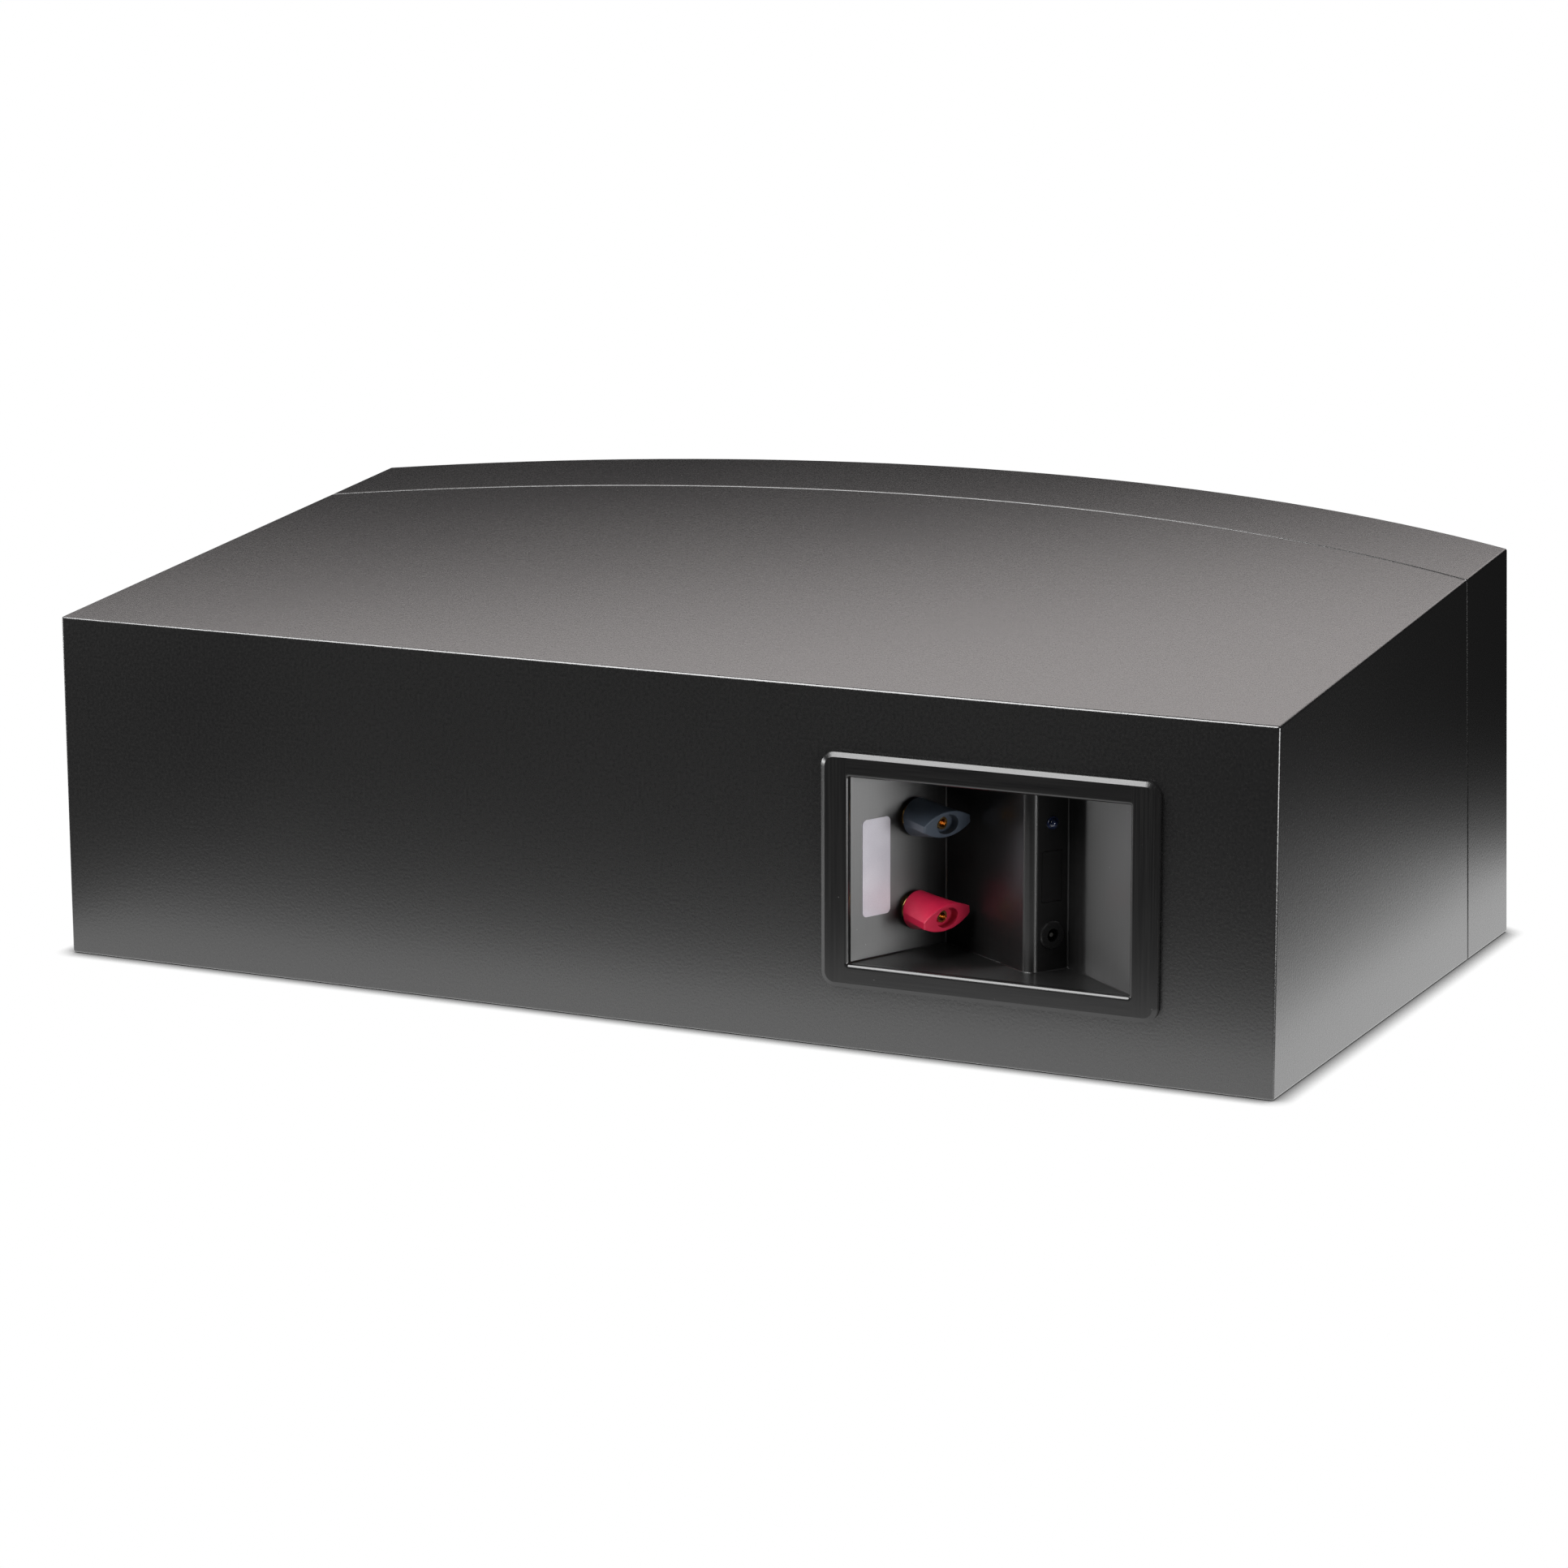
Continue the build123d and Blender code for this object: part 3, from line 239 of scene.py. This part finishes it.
def grille_sheet():
    """Arc of a cylinder leaning with the front: across is an arc length, up a level on it."""
    half_arc = CLOTH_RADIUS * math.asin(CLOTH_HALF_WIDE / CLOTH_RADIUS)
    half_tall = (CLOTH_LEVELS[1] - CLOTH_LEVELS[0]) / 2
    across, up = np.meshgrid(edged(half_arc, CLOTH_STEPS[0]), edged(half_tall, CLOTH_STEPS[1]), indexing="ij")
    arc, back_across = turned_back(across, half_arc)
    rise, back_up = turned_back(up, half_tall)
    radius = CLOTH_RADIUS - np.minimum(back_across + back_up, CLOTH_TURN)
    x = radius * np.sin(arc / CLOTH_RADIUS)
    y = CLOTH_CENTRE - radius * np.cos(arc / CLOTH_RADIUS)
    z = rise + sum(CLOTH_LEVELS) / 2
    leaning = np.stack([x, y * math.cos(CLOTH_LEAN) + z * math.sin(CLOTH_LEAN),
                        z * math.cos(CLOTH_LEAN) - y * math.sin(CLOTH_LEAN)], -1)
    return leaning + np.array(TOP_REAR_EDGE), across, up


def grid_piece(name, points, joined=False):
    """Object of quads over a grid of points, whose last row joins its first where joined is set."""
    index = np.arange(points.shape[0] * points.shape[1]).reshape(points.shape[:2])
    index = np.vstack([index, index[:1]]) if joined else index
    quads = np.stack([index[:-1, :-1], index[1:, :-1], index[1:, 1:], index[:-1, 1:]], -1).reshape(-1, 4)
    mesh = bpy.data.meshes.new(name)
    mesh.from_pydata(points.reshape(-1, 3).tolist(), [], quads.tolist())
    mesh.polygons.foreach_set("use_smooth", np.ones(len(quads), bool))
    piece = bpy.data.objects.new(name, mesh)
    bpy.context.scene.collection.objects.link(piece)
    return piece


points, across, up = grille_sheet()
cloth = grid_piece("stretched_grille_cloth", points)
corner = np.empty(len(cloth.data.loops), int)
cloth.data.loops.foreach_get("vertex_index", corner)
layer = cloth.data.uv_layers.new(name="threads")
layer.data.foreach_set("uv", np.stack([across.ravel()[corner], up.ravel()[corner]], -1).ravel())

KNIT_DARK = (0.003, 0.003, 0.003, 1)
KNIT_PALE = (0.026, 0.026, 0.027, 1)
KNIT_SHEEN = (0.5, 0.5, 0.52, 1)
KNIT_PITCH = 0.0011
KNIT_DEPTH = 0.0003

knit, place, shader = start_finish("black_knit", {
    "Sheen Weight": 0.25, "Sheen Roughness": 0.5, "Sheen Tint": KNIT_SHEEN, "IOR": 1.45})
threads = place.node("UVMap", {"uv_map": "threads"}, {})
warp = (threads.axis("X") * (math.pi / KNIT_PITCH)).math("SINE")
weft = (threads.axis("Y") * (math.pi / KNIT_PITCH)).math("SINE")
over = (warp * weft).between(-0.25, 0.25)
yarn = warp.math("ABSOLUTE") * over + weft.math("ABSOLUTE") * (1 - over)
fluff = place.noise(240.0, 3.0)
lay(shader, {
    # Painted shade: darker between the yarns, paler along each yarn's crest, over a random fluff tone.
    "Base Color": (0.75 * yarn + 0.25 * fluff).tint(KNIT_DARK, KNIT_PALE),
    "Roughness": 0.95 - 0.2 * yarn,
    "Normal": yarn.relief(0.7, KNIT_DEPTH),
})
cloth.data.materials.append(knit)
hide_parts("grille_cloth")
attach(cloth, "speaker")


# Woofers
# Two cone drivers. Each has a cast basket, a pressed paper cone and cap in a rubber surround, a
# resin-stiffened spider, a copper coil, and a ferrite ring between zinc-plated plates.

cast_paint = mottled("cast_paint", (0.010, 0.010, 0.010), (0.030, 0.030, 0.031),
                     scale=650.0, rough=0.5, depth=0.00025)
dress(cast_paint, "right_woofer_basket", "left_woofer_basket")
pulp = mottled("pressed_pulp", (0.012, 0.012, 0.012), (0.045, 0.043, 0.041),
               scale=520.0, rough=0.72, depth=0.0002, sheen_weight=0.1)
dress(pulp, "right_woofer_cone", "left_woofer_cone", "right_woofer_dust_cap", "left_woofer_dust_cap")
dress(soft_rubber, "right_woofer_surround", "left_woofer_surround")
resin_cloth = mottled("resin_cloth", (0.30, 0.17, 0.05), (0.55, 0.36, 0.14),
                      scale=1500.0, rough=0.7, depth=0.0003)
dress(resin_cloth, "right_woofer_spider", "left_woofer_spider")
zinc = mottled("zinc_plate", (0.45, 0.45, 0.43), (0.70, 0.70, 0.68),
               scale=300.0, rough=0.32, depth=0.00004, metallic=1.0)
dress(zinc, "right_woofer_top_plate", "left_woofer_top_plate", "right_woofer_yoke", "left_woofer_yoke")
ferrite = mottled("ferrite", (0.020, 0.020, 0.021), (0.060, 0.060, 0.062),
                  scale=380.0, rough=0.6, depth=0.0001, metallic=0.2)
dress(ferrite, "right_woofer_magnet", "left_woofer_magnet")

WIRE_DARK = (0.18, 0.05, 0.015, 1)
WIRE_PALE = (0.72, 0.34, 0.16, 1)
WIRE_PITCH = 0.0008
WIRE_DEPTH = 0.0003
LEFT_WOOFER_AXIS = (0.356, -0.931, 0.083)


def wound_wire(name, axis):
    """Copper wire laid side by side: even ridges along the winding's axis in the enamel's tone, with painted
    shade darkening the grooves between turns.
    """
    material, place, shader = start_finish(name, {
        "Metallic": 0.9, "Coat Weight": 0.6, "Coat Roughness": 0.15})
    turns = (place.along(axis) * (math.pi / WIRE_PITCH)).math("SINE").math("ABSOLUTE")
    tone = place.noise(160.0, 3.0)
    lay(shader, {
        # Painted shade: darker in the grooves between turns, paler on each turn's crest, over a random tone.
        "Base Color": (0.6 * turns + 0.4 * tone).tint(WIRE_DARK, WIRE_PALE),
        "Roughness": 0.34 - 0.1 * turns,
        "Normal": turns.relief(0.8, WIRE_DEPTH),
    })
    return material


for side, mirrored in (("right", -1), ("left", 1)):
    axis = (mirrored * LEFT_WOOFER_AXIS[0],) + LEFT_WOOFER_AXIS[1:]
    dress(wound_wire(side + "_coil_wire", axis), side + "_woofer_voice_coil")


# Electrostatic panel
# Two coated steel stators with a clear film stretched between them on clear spacer strips, all
# clamped to the back of the baffle by a painted steel strip.

coated_steel = mottled("coated_steel", (0.010, 0.010, 0.0105), (0.030, 0.030, 0.030),
                       scale=1100.0, rough=0.45, depth=0.0001)
dress(coated_steel, "front_stator", "rear_stator", "panel_clamp")

CLEAR_CLOUD = (0.85, 0.85, 0.83, 1)


def clear_plastic(name, tone, alpha):
    """Clear sheet: glossy, with faint clouds in its tone and in how much shows through it."""
    material, place, shader = start_finish(name, {"IOR": 1.5, "Coat Weight": 0.3})
    cloud = place.noise(35.0, 3.0)
    lay(shader, {
        "Base Color": cloud.tint(tone + (1,), CLEAR_CLOUD),
        "Roughness": 0.06 + 0.1 * cloud,
        "Alpha": (alpha - 0.1) + 0.2 * cloud,
    })
    return material


dress(clear_plastic("clear_film", (0.60, 0.60, 0.56), alpha=0.4), "diaphragm")
dress(clear_plastic("clear_strip", (0.66, 0.68, 0.66), alpha=0.7), "panel_spacers")


# Terminal cup
# One moulding of black plastic with a bevelled flange and a zigzag floor, clipped into the rear
# panel on a foam gasket. Its steel mould was drawn along each face, which left fine straight lines.

CUP_MIDDLE = (-0.184, 0.2167, 0.087)
CUP_HALF_MOUTH = 0.071
LINE_LONG = 18.0
LINE_FINE = 1400.0
LINE_DEPTH = 0.000028
LINE_CHANGE = 0.0004
FLANGE_RISE = 0.001
FLANGE_GLOSS = 0.55
CUP_DARK = (0.0055, 0.0055, 0.0058, 1)
CUP_PALE = (0.0125, 0.0122, 0.0120, 1)
DUST = (0.09, 0.09, 0.088, 1)
DUST_SCALE = 95.0
DUST_SIZE = (0.016, 0.03)

cup_plastic, place, shader = start_finish("cup_plastic", {
    "IOR": 1.6, "Coat Weight": 0.2, "Coat Roughness": 0.15, "Coat IOR": 1.5,
    "Anisotropic": 0.8, "Anisotropic Rotation": 0.25})
centred = place.moved(CUP_MIDDLE)
level_lines = centred.stretched((LINE_LONG, LINE_LONG, LINE_FINE)).noise(1.0, 3.0, 0.6)
upright_lines = centred.stretched((LINE_FINE, LINE_FINE, LINE_LONG)).noise(1.0, 3.0, 0.6)
beside_mouth = centred.axis("X").math("ABSOLUTE").between(CUP_HALF_MOUTH, CUP_HALF_MOUTH + LINE_CHANGE)
sunk = 1 - centred.axis("Y").between(0.0, FLANGE_RISE)
upright = beside_mouth.math("MAXIMUM", 0.6 * sunk)
lines = level_lines * (1 - upright) + upright_lines * upright
dust = 1 - centred.cells(DUST_SCALE).between(*DUST_SIZE)

# The two side walls shade as if they were splayed wider, and so catch the low light beside the
# mouth. Each slope is a lean of the shading, and each range tells the wall from its neighbours.
POST_AXIS = (-0.910366, 0.413803, 0.0)
POST_WALL_OUT = (0.413803, 0.910366, 0.0)
POST_WALL_RANGE = (0.996, 0.999)
POST_WALL_SLOPE = 0.25
RIGHT_WALL_AXIS = (0.6, 0.8, 0.0)
RIGHT_WALL_OUT = (-0.8, 0.6, 0.0)
RIGHT_WALL_RANGE = (0.9990, 0.9997)
RIGHT_WALL_SLOPE = 0.18

facing = place.node("NewGeometry", {}, {}, "True Normal")
post_wall = facing.along(POST_AXIS).between(*POST_WALL_RANGE) * centred.along(POST_WALL_OUT)
right_wall = facing.along(RIGHT_WALL_AXIS).between(*RIGHT_WALL_RANGE) * centred.along(RIGHT_WALL_OUT)
splay = post_wall * -POST_WALL_SLOPE + right_wall * -RIGHT_WALL_SLOPE
lay(shader, {
    "Base Color": dust.tint(lines.between(0.3, 0.7).tint(CUP_DARK, CUP_PALE), DUST),
    "Roughness": (FLANGE_GLOSS + (1 - FLANGE_GLOSS) * sunk) * (0.24 + 0.20 * lines),
    "Normal": (splay + LINE_DEPTH * lines).relief(1.0, 1.0),
})
dress(cup_plastic, "terminal_cup", "blank_plate")

FOAM_DARK = (0.004, 0.004, 0.004, 1)
FOAM_PALE = (0.018, 0.018, 0.018, 1)
FOAM_DEPTH = 0.0003

foam, place, shader = start_finish("gasket_foam", {"IOR": 1.4})
bubbles = place.cells(1600.0)
lay(shader, {
    "Base Color": bubbles.tint(FOAM_DARK, FOAM_PALE),
    "Roughness": 0.8 + 0.15 * bubbles,
    "Normal": bubbles.relief(0.6, FOAM_DEPTH),
})
dress(foam, "cup_gasket")


# Bare label
# A rounded rectangle of silver foil with an adhesive back, stuck to the post wall near the mouth.
# Its face is brushed by a fine fleck and clouded by a faint haze.

FOIL_DARK = (0.56, 0.54, 0.60, 1)
FOIL_PALE = (0.68, 0.66, 0.71, 1)
FOIL_DEPTH = 0.00005

foil, place, shader = start_finish("silver_foil", {"IOR": 1.5, "Metallic": 0.25, "Coat Weight": 0.15})
flecks = place.noise(2600.0, 2.0)
haze = place.noise(60.0, 3.0)
lay(shader, {
    "Base Color": (0.5 * flecks + 0.5 * haze).between(0.3, 0.7).tint(FOIL_DARK, FOIL_PALE),
    "Roughness": 0.38 + 0.12 * haze,
    "Normal": flecks.relief(0.15, FOIL_DEPTH),
})
dress(foil, "bare_label")


# Lamp and power socket
# A smoked blue lamp pressed into the jack wall, and a round moulded socket with a nickel pin, held
# from behind by a nickel nut.

SMOKE_DARK = (0.003, 0.005, 0.016, 1)
SMOKE_PALE = (0.012, 0.022, 0.075, 1)

smoked_lens, place, shader = start_finish("smoked_lens", {
    "IOR": 1.5, "Coat Weight": 1.0, "Coat Roughness": 0.03})
depth_tone = place.noise(420.0, 2.0)
lay(shader, {
    "Base Color": depth_tone.between(0.35, 0.65).tint(SMOKE_DARK, SMOKE_PALE),
    "Roughness": 0.08 + 0.08 * depth_tone,
})
dress(smoked_lens, "power_lamp")
socket_plastic = mottled("socket_plastic", (0.006, 0.006, 0.0062), (0.016, 0.016, 0.016),
                         scale=1500.0, rough=0.25, depth=0.00004)
dress(socket_plastic, "power_jack")
nickel = mottled("nickel_plate", (0.52, 0.51, 0.48), (0.74, 0.73, 0.70),
                 scale=600.0, rough=0.22, depth=0.00003, metallic=1.0)
dress(nickel, "power_jack_pin", "power_jack_nut", "post_nuts")


# Binding posts
# Gold-plated studs through the post wall, each with a washer, a solder tag and a winged thumb knob
# that runs on its thread. The knobs are moulded, one raspberry red and one slate.

def moulded_knob(name, dark, pale):
    """Satin moulded plastic: fine spark texture, with a faint sheen of wear in broad clouds."""
    material, place, shader = start_finish(name, {"IOR": 1.5, "Coat Weight": 0.15, "Coat Roughness": 0.2})
    spark = place.noise(2200.0, 2.0)
    wear = place.noise(130.0, 3.0)
    lay(shader, {
        "Base Color": (0.35 * spark + 0.65 * wear).between(0.3, 0.7).tint(dark + (1,), pale + (1,)),
        "Roughness": 0.34 + 0.1 * wear + 0.06 * spark,
        "Normal": spark.relief(0.2, 0.00005),
    })
    return material


dress(moulded_knob("raspberry_plastic", (0.42, 0.007, 0.040), (0.53, 0.012, 0.053)), "red_post_knob")
dress(moulded_knob("slate_plastic", (0.038, 0.050, 0.068), (0.052, 0.066, 0.088)), "dark_post_knob")

GOLD_DARK = (0.62, 0.33, 0.10, 1)
GOLD_PALE = (0.86, 0.56, 0.22, 1)
THREAD_PITCH = 0.001
THREAD_DEPTH = 0.0003

gold, place, shader = start_finish("gold_plate", {"Metallic": 1.0})
thread = (place.along(POST_AXIS) * (math.pi / THREAD_PITCH)).math("SINE").math("ABSOLUTE")
bloom = place.noise(500.0, 3.0)
lay(shader, {
    "Base Color": bloom.between(0.3, 0.7).tint(GOLD_DARK, GOLD_PALE),
    "Roughness": 0.18 + 0.14 * bloom,
    "Normal": thread.relief(0.5, THREAD_DEPTH),
})
dress(gold, "red_post_stud", "dark_post_stud")
gold_wash = mottled("gold_wash", (0.66, 0.38, 0.12), (0.84, 0.55, 0.21),
                    scale=700.0, rough=0.28, depth=0.00004, metallic=1.0)
dress(gold_wash, "red_post_washer", "dark_post_washer", "post_tags")


# Crossover, supply, wadding and wires
# A green board on nylon posts carries the coils, capacitors and resistors. Beside it stand the
# step-up transformer and a sealed supply, a pad of wool lines the rear panel, and two wires run
# from the posts to the board.

MASK_OVER_COPPER = (0.045, 0.21, 0.09, 1)
MASK_OVER_BOARD = (0.02, 0.12, 0.05, 1)
TRACK_EDGE = (0.02, 0.035)
TRACK_DEPTH = 0.00012

solder_mask, place, shader = start_finish("solder_mask", {
    "IOR": 1.5, "Coat Weight": 0.5, "Coat Roughness": 0.2})
glass = place.noise(1400.0, 2.0)
wander = place.stretched((1.0, 3.0, 1.0)).noise(55.0, 0.0) - 0.5
gaps = wander.math("ABSOLUTE").between(*TRACK_EDGE)
lay(shader, {
    "Base Color": gaps.tint(MASK_OVER_COPPER, MASK_OVER_BOARD),
    "Roughness": 0.3 + 0.15 * glass,
    "Normal": (0.8 * (1 - gaps) + 0.2 * glass).relief(0.5, TRACK_DEPTH),
})
dress(solder_mask, "crossover_board")
nylon = mottled("nylon", (0.66, 0.66, 0.61), (0.82, 0.82, 0.78), scale=500.0, rough=0.5, depth=0.00005)
dress(nylon, "board_standoffs")
dress(wound_wire("choke_wire", (0.0, 0.0, 1.0)), "woofer_coil", "panel_coil")
film_wrap = mottled("film_wrap", (0.40, 0.05, 0.03), (0.60, 0.11, 0.06),
                    scale=220.0, rough=0.3, depth=0.00006)
dress(film_wrap, "crossover_capacitors")
cement = mottled("cement", (0.66, 0.65, 0.61), (0.84, 0.83, 0.79), scale=900.0, rough=0.85, depth=0.0002)
dress(cement, "crossover_resistors")

LEAF_DARK = (0.04, 0.035, 0.03, 1)
LEAF_PALE = (0.20, 0.19, 0.18, 1)
LEAF_PITCH = 0.0007
LEAF_DEPTH = 0.0002

laminations, place, shader = start_finish("laminations", {"Metallic": 0.7})
leaves = (place.axis("Y") * (math.pi / LEAF_PITCH)).math("SINE").math("ABSOLUTE")
varnish = place.noise(90.0, 3.0)
lay(shader, {
    "Base Color": (0.5 * leaves + 0.5 * varnish).tint(LEAF_DARK, LEAF_PALE),
    "Roughness": 0.35 + 0.2 * varnish,
    "Normal": leaves.relief(0.5, LEAF_DEPTH),
})
dress(laminations, "step_up_transformer")
supply_case = mottled("supply_case", PLASTIC_DARK, PLASTIC_PALE, scale=800.0, rough=0.5, depth=0.0001)
dress(supply_case, "bias_supply")
red_insulation = mottled("red_insulation", (0.36, 0.015, 0.015), (0.52, 0.035, 0.03),
                         scale=300.0, rough=0.35, depth=0.00004)
dress(red_insulation, "red_post_wire")
black_insulation = mottled("black_insulation", (0.010, 0.010, 0.010), (0.026, 0.026, 0.026),
                           scale=300.0, rough=0.35, depth=0.00004)
dress(black_insulation, "dark_post_wire")

WOOL_DARK = (0.24, 0.24, 0.25, 1)
WOOL_PALE = (0.62, 0.62, 0.62, 1)
WOOL_DEPTH = 0.0012
WOOL_SQUARE = 0.42
WOOL_LUMP = 0.0016
WOOL_STEPS = (160, 80)
wool_low, wool_high = (np.array(end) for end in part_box("damping_pad"))


def wool_pad(rows, columns):
    """Rounded block: each axis is a sine or cosine raised to a low power, pressed in by slow ripples."""
    turn = np.linspace(0, 2 * math.pi, rows, endpoint=False)[:, None]
    rise = np.linspace(-math.pi / 2, math.pi / 2, columns)[None, :]
    blunt = [np.sign(wave) * np.abs(wave) ** WOOL_SQUARE for wave in
             (np.cos(turn), np.sin(turn), np.cos(rise), np.sin(rise))]
    unit = np.stack([blunt[0] * blunt[2], blunt[1] * blunt[2], blunt[3] + 0 * turn], -1)
    half = (wool_high - wool_low) / 2
    lumps = np.sin(unit[..., :1] * 17 + 3 * unit[..., 2:]) * np.sin(unit[..., 2:] * 7 + 5 * unit[..., :1])
    return (wool_low + wool_high) / 2 + unit * (half - WOOL_LUMP * (1 + lumps))


pad = grid_piece("wool_pad", wool_pad(*WOOL_STEPS), joined=True)
wool, place, shader = start_finish("polyester_wool", {
    "Sheen Weight": 0.4, "Sheen Roughness": 0.5, "IOR": 1.4})
fibres = place.stretched((1.0, 2.5, 2.5)).noise(420.0, 5.0, 0.7)
lay(shader, {
    "Base Color": fibres.between(0.25, 0.75).tint(WOOL_DARK, WOOL_PALE),
    "Roughness": 0.9 + 0.1 * fibres,
    "Normal": fibres.relief(0.9, WOOL_DEPTH),
})
pad.data.materials.append(wool)
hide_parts("damping_pad")
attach(pad, "speaker")


# The studio
# A pale floor that also glows as a painted pool of light, soft lights above the front, above the camera's
# left shoulder and low at both sides, and the camera where the photograph was taken from.

def area_light(name, place, aim, width, height, power, colour=(1.0, 1.0, 1.0), spread=180):
    """Rectangular soft light at a place, turned to face an aim point, in a beam spread in degrees."""
    light = bpy.data.lights.new(name, "AREA")
    light.shape = "RECTANGLE"
    light.size = width
    light.size_y = height
    light.energy = power
    light.color = colour
    light.spread = math.radians(spread)
    holder = bpy.data.objects.new(name, light)
    holder.location = place
    holder.rotation_euler = (Vector(aim) - Vector(place)).to_track_quat("-Z", "Y").to_euler()
    holder.visible_camera = False
    bpy.context.scene.collection.objects.link(holder)


area_light("front_overhead_light", place=(0.25, -0.38, 0.545), aim=(0.04, 0.1, 0.15),
           width=1.50, height=0.33, power=1.6, colour=(1.0, 0.94, 0.93))
area_light("left_shoulder_light", place=(0.45, 0.85, 1.25), aim=(-0.15, 0.2, 0.1),
           width=1.3, height=1.2, power=40.0)
area_light("low_right_card", place=(-0.75, 0.42, 0.12), aim=(-0.13, 0.24, 0.09),
           width=0.50, height=0.24, power=0.50, spread=55)
area_light("low_left_card", place=(1.20, 0.48, 0.13), aim=(-0.24, 0.2, 0.09),
           width=0.40, height=0.24, power=3.0)

FLOOR_REACH = 3.0
FLOOR_LEVEL = -0.0003
floor_corners = [(-FLOOR_REACH, -FLOOR_REACH, FLOOR_LEVEL), (FLOOR_REACH, -FLOOR_REACH, FLOOR_LEVEL),
                 (FLOOR_REACH, FLOOR_REACH, FLOOR_LEVEL), (-FLOOR_REACH, FLOOR_REACH, FLOOR_LEVEL)]
floor_mesh = bpy.data.meshes.new("floor")
floor_mesh.from_pydata(floor_corners, [], [(0, 1, 2, 3)])
floor = bpy.data.objects.new("floor", floor_mesh)
bpy.context.scene.collection.objects.link(floor)

# The camera sees the floor as white, with a thin shadow along the speaker's foot. To mirrored and
# bounced light the floor glows, a painted pool of light: white close to the speaker, fading outwards,
# and fading faster past the two ends.
BLACK = (0, 0, 0, 1)
WHITE = (1, 1, 1, 1)
FAR_FLOOR_GLOW = (0.02, 0.02, 0.02, 1)
DARK_ROOM = (0.02, 0.02, 0.021, 1)
FOOTPRINT = (0.325, 0.2167)
GLOW_REACH = 0.08
GLOW_RISE = 2.5
END_FALL = 3.2
SHADOW_REACH = 0.010
SHADOW_POWER = 2.0

pale_glowing_floor = bpy.data.materials.new("pale_glowing_floor")
pale_glowing_floor.use_nodes = True
tree = pale_glowing_floor.node_tree
tree.nodes.remove(tree.nodes["Principled BSDF"])
spot = Signal(tree, tree.nodes.new("ShaderNodeTexCoord").outputs["Object"])
past_x = (spot.axis("X").math("ABSOLUTE") - FOOTPRINT[0]).math("MAXIMUM", 0.0)
past_y = (spot.axis("Y").math("ABSOLUTE") - FOOTPRINT[1]).math("MAXIMUM", 0.0)
past = (past_x * past_x * END_FALL + past_y * past_y) ** 0.5
glow = (GLOW_RISE * (past * (-1 / GLOW_REACH)).math("EXPONENT")).math("MINIMUM", 1.0)
contact = spot.node("AmbientOcclusion", {"samples": 8}, {"Distance": SHADOW_REACH}, "AO") ** SHADOW_POWER
seen = spot.node("LightPath", {}, {}, "Is Camera Ray")
shown = spot.node("Emission", {}, {"Color": contact.tint(BLACK, WHITE)})
bounced = spot.node("Emission", {}, {"Color": glow.tint(FAR_FLOOR_GLOW, WHITE)})
surface = spot.node("MixShader", {}, {0: seen, 1: bounced, 2: shown})
tree.links.new(surface.socket, tree.nodes["Material Output"].inputs["Surface"])
floor.data.materials.append(pale_glowing_floor)

world = bpy.data.worlds.new("studio")
bpy.context.scene.world = world
world.use_nodes = True
tree = world.node_tree
backdrop = Signal(tree, tree.nodes["Background"].outputs[0])
seen = backdrop.node("LightPath", {}, {}, "Is Camera Ray")
lay(tree.nodes["Background"], {"Color": seen.tint(DARK_ROOM, WHITE)})

CAMERA_PLACE = (-1.06334, 2.26173, 0.62464)
CAMERA_RIGHT = Vector((-0.901271, -0.433242, -0.003377))
CAMERA_DOWN = Vector((-0.090166, 0.195184, -0.976613))
CAMERA_AHEAD = Vector((0.423769, -0.879889, -0.214977))
SENSOR_WIDTH = 36.0
FOCAL_LENGTH = 113.369
FARTHEST_SEEN = 50.0

lens = bpy.data.cameras.new("camera")
lens.sensor_width = SENSOR_WIDTH
lens.lens = FOCAL_LENGTH
lens.clip_end = FARTHEST_SEEN
camera = bpy.data.objects.new("camera", lens)
turn = Matrix((CAMERA_RIGHT, -CAMERA_DOWN, -CAMERA_AHEAD)).transposed().to_4x4()
camera.matrix_world = Matrix.Translation(CAMERA_PLACE) @ turn
bpy.context.scene.collection.objects.link(camera)
bpy.context.scene.camera = camera
bpy.context.scene.view_settings.view_transform = "Standard"
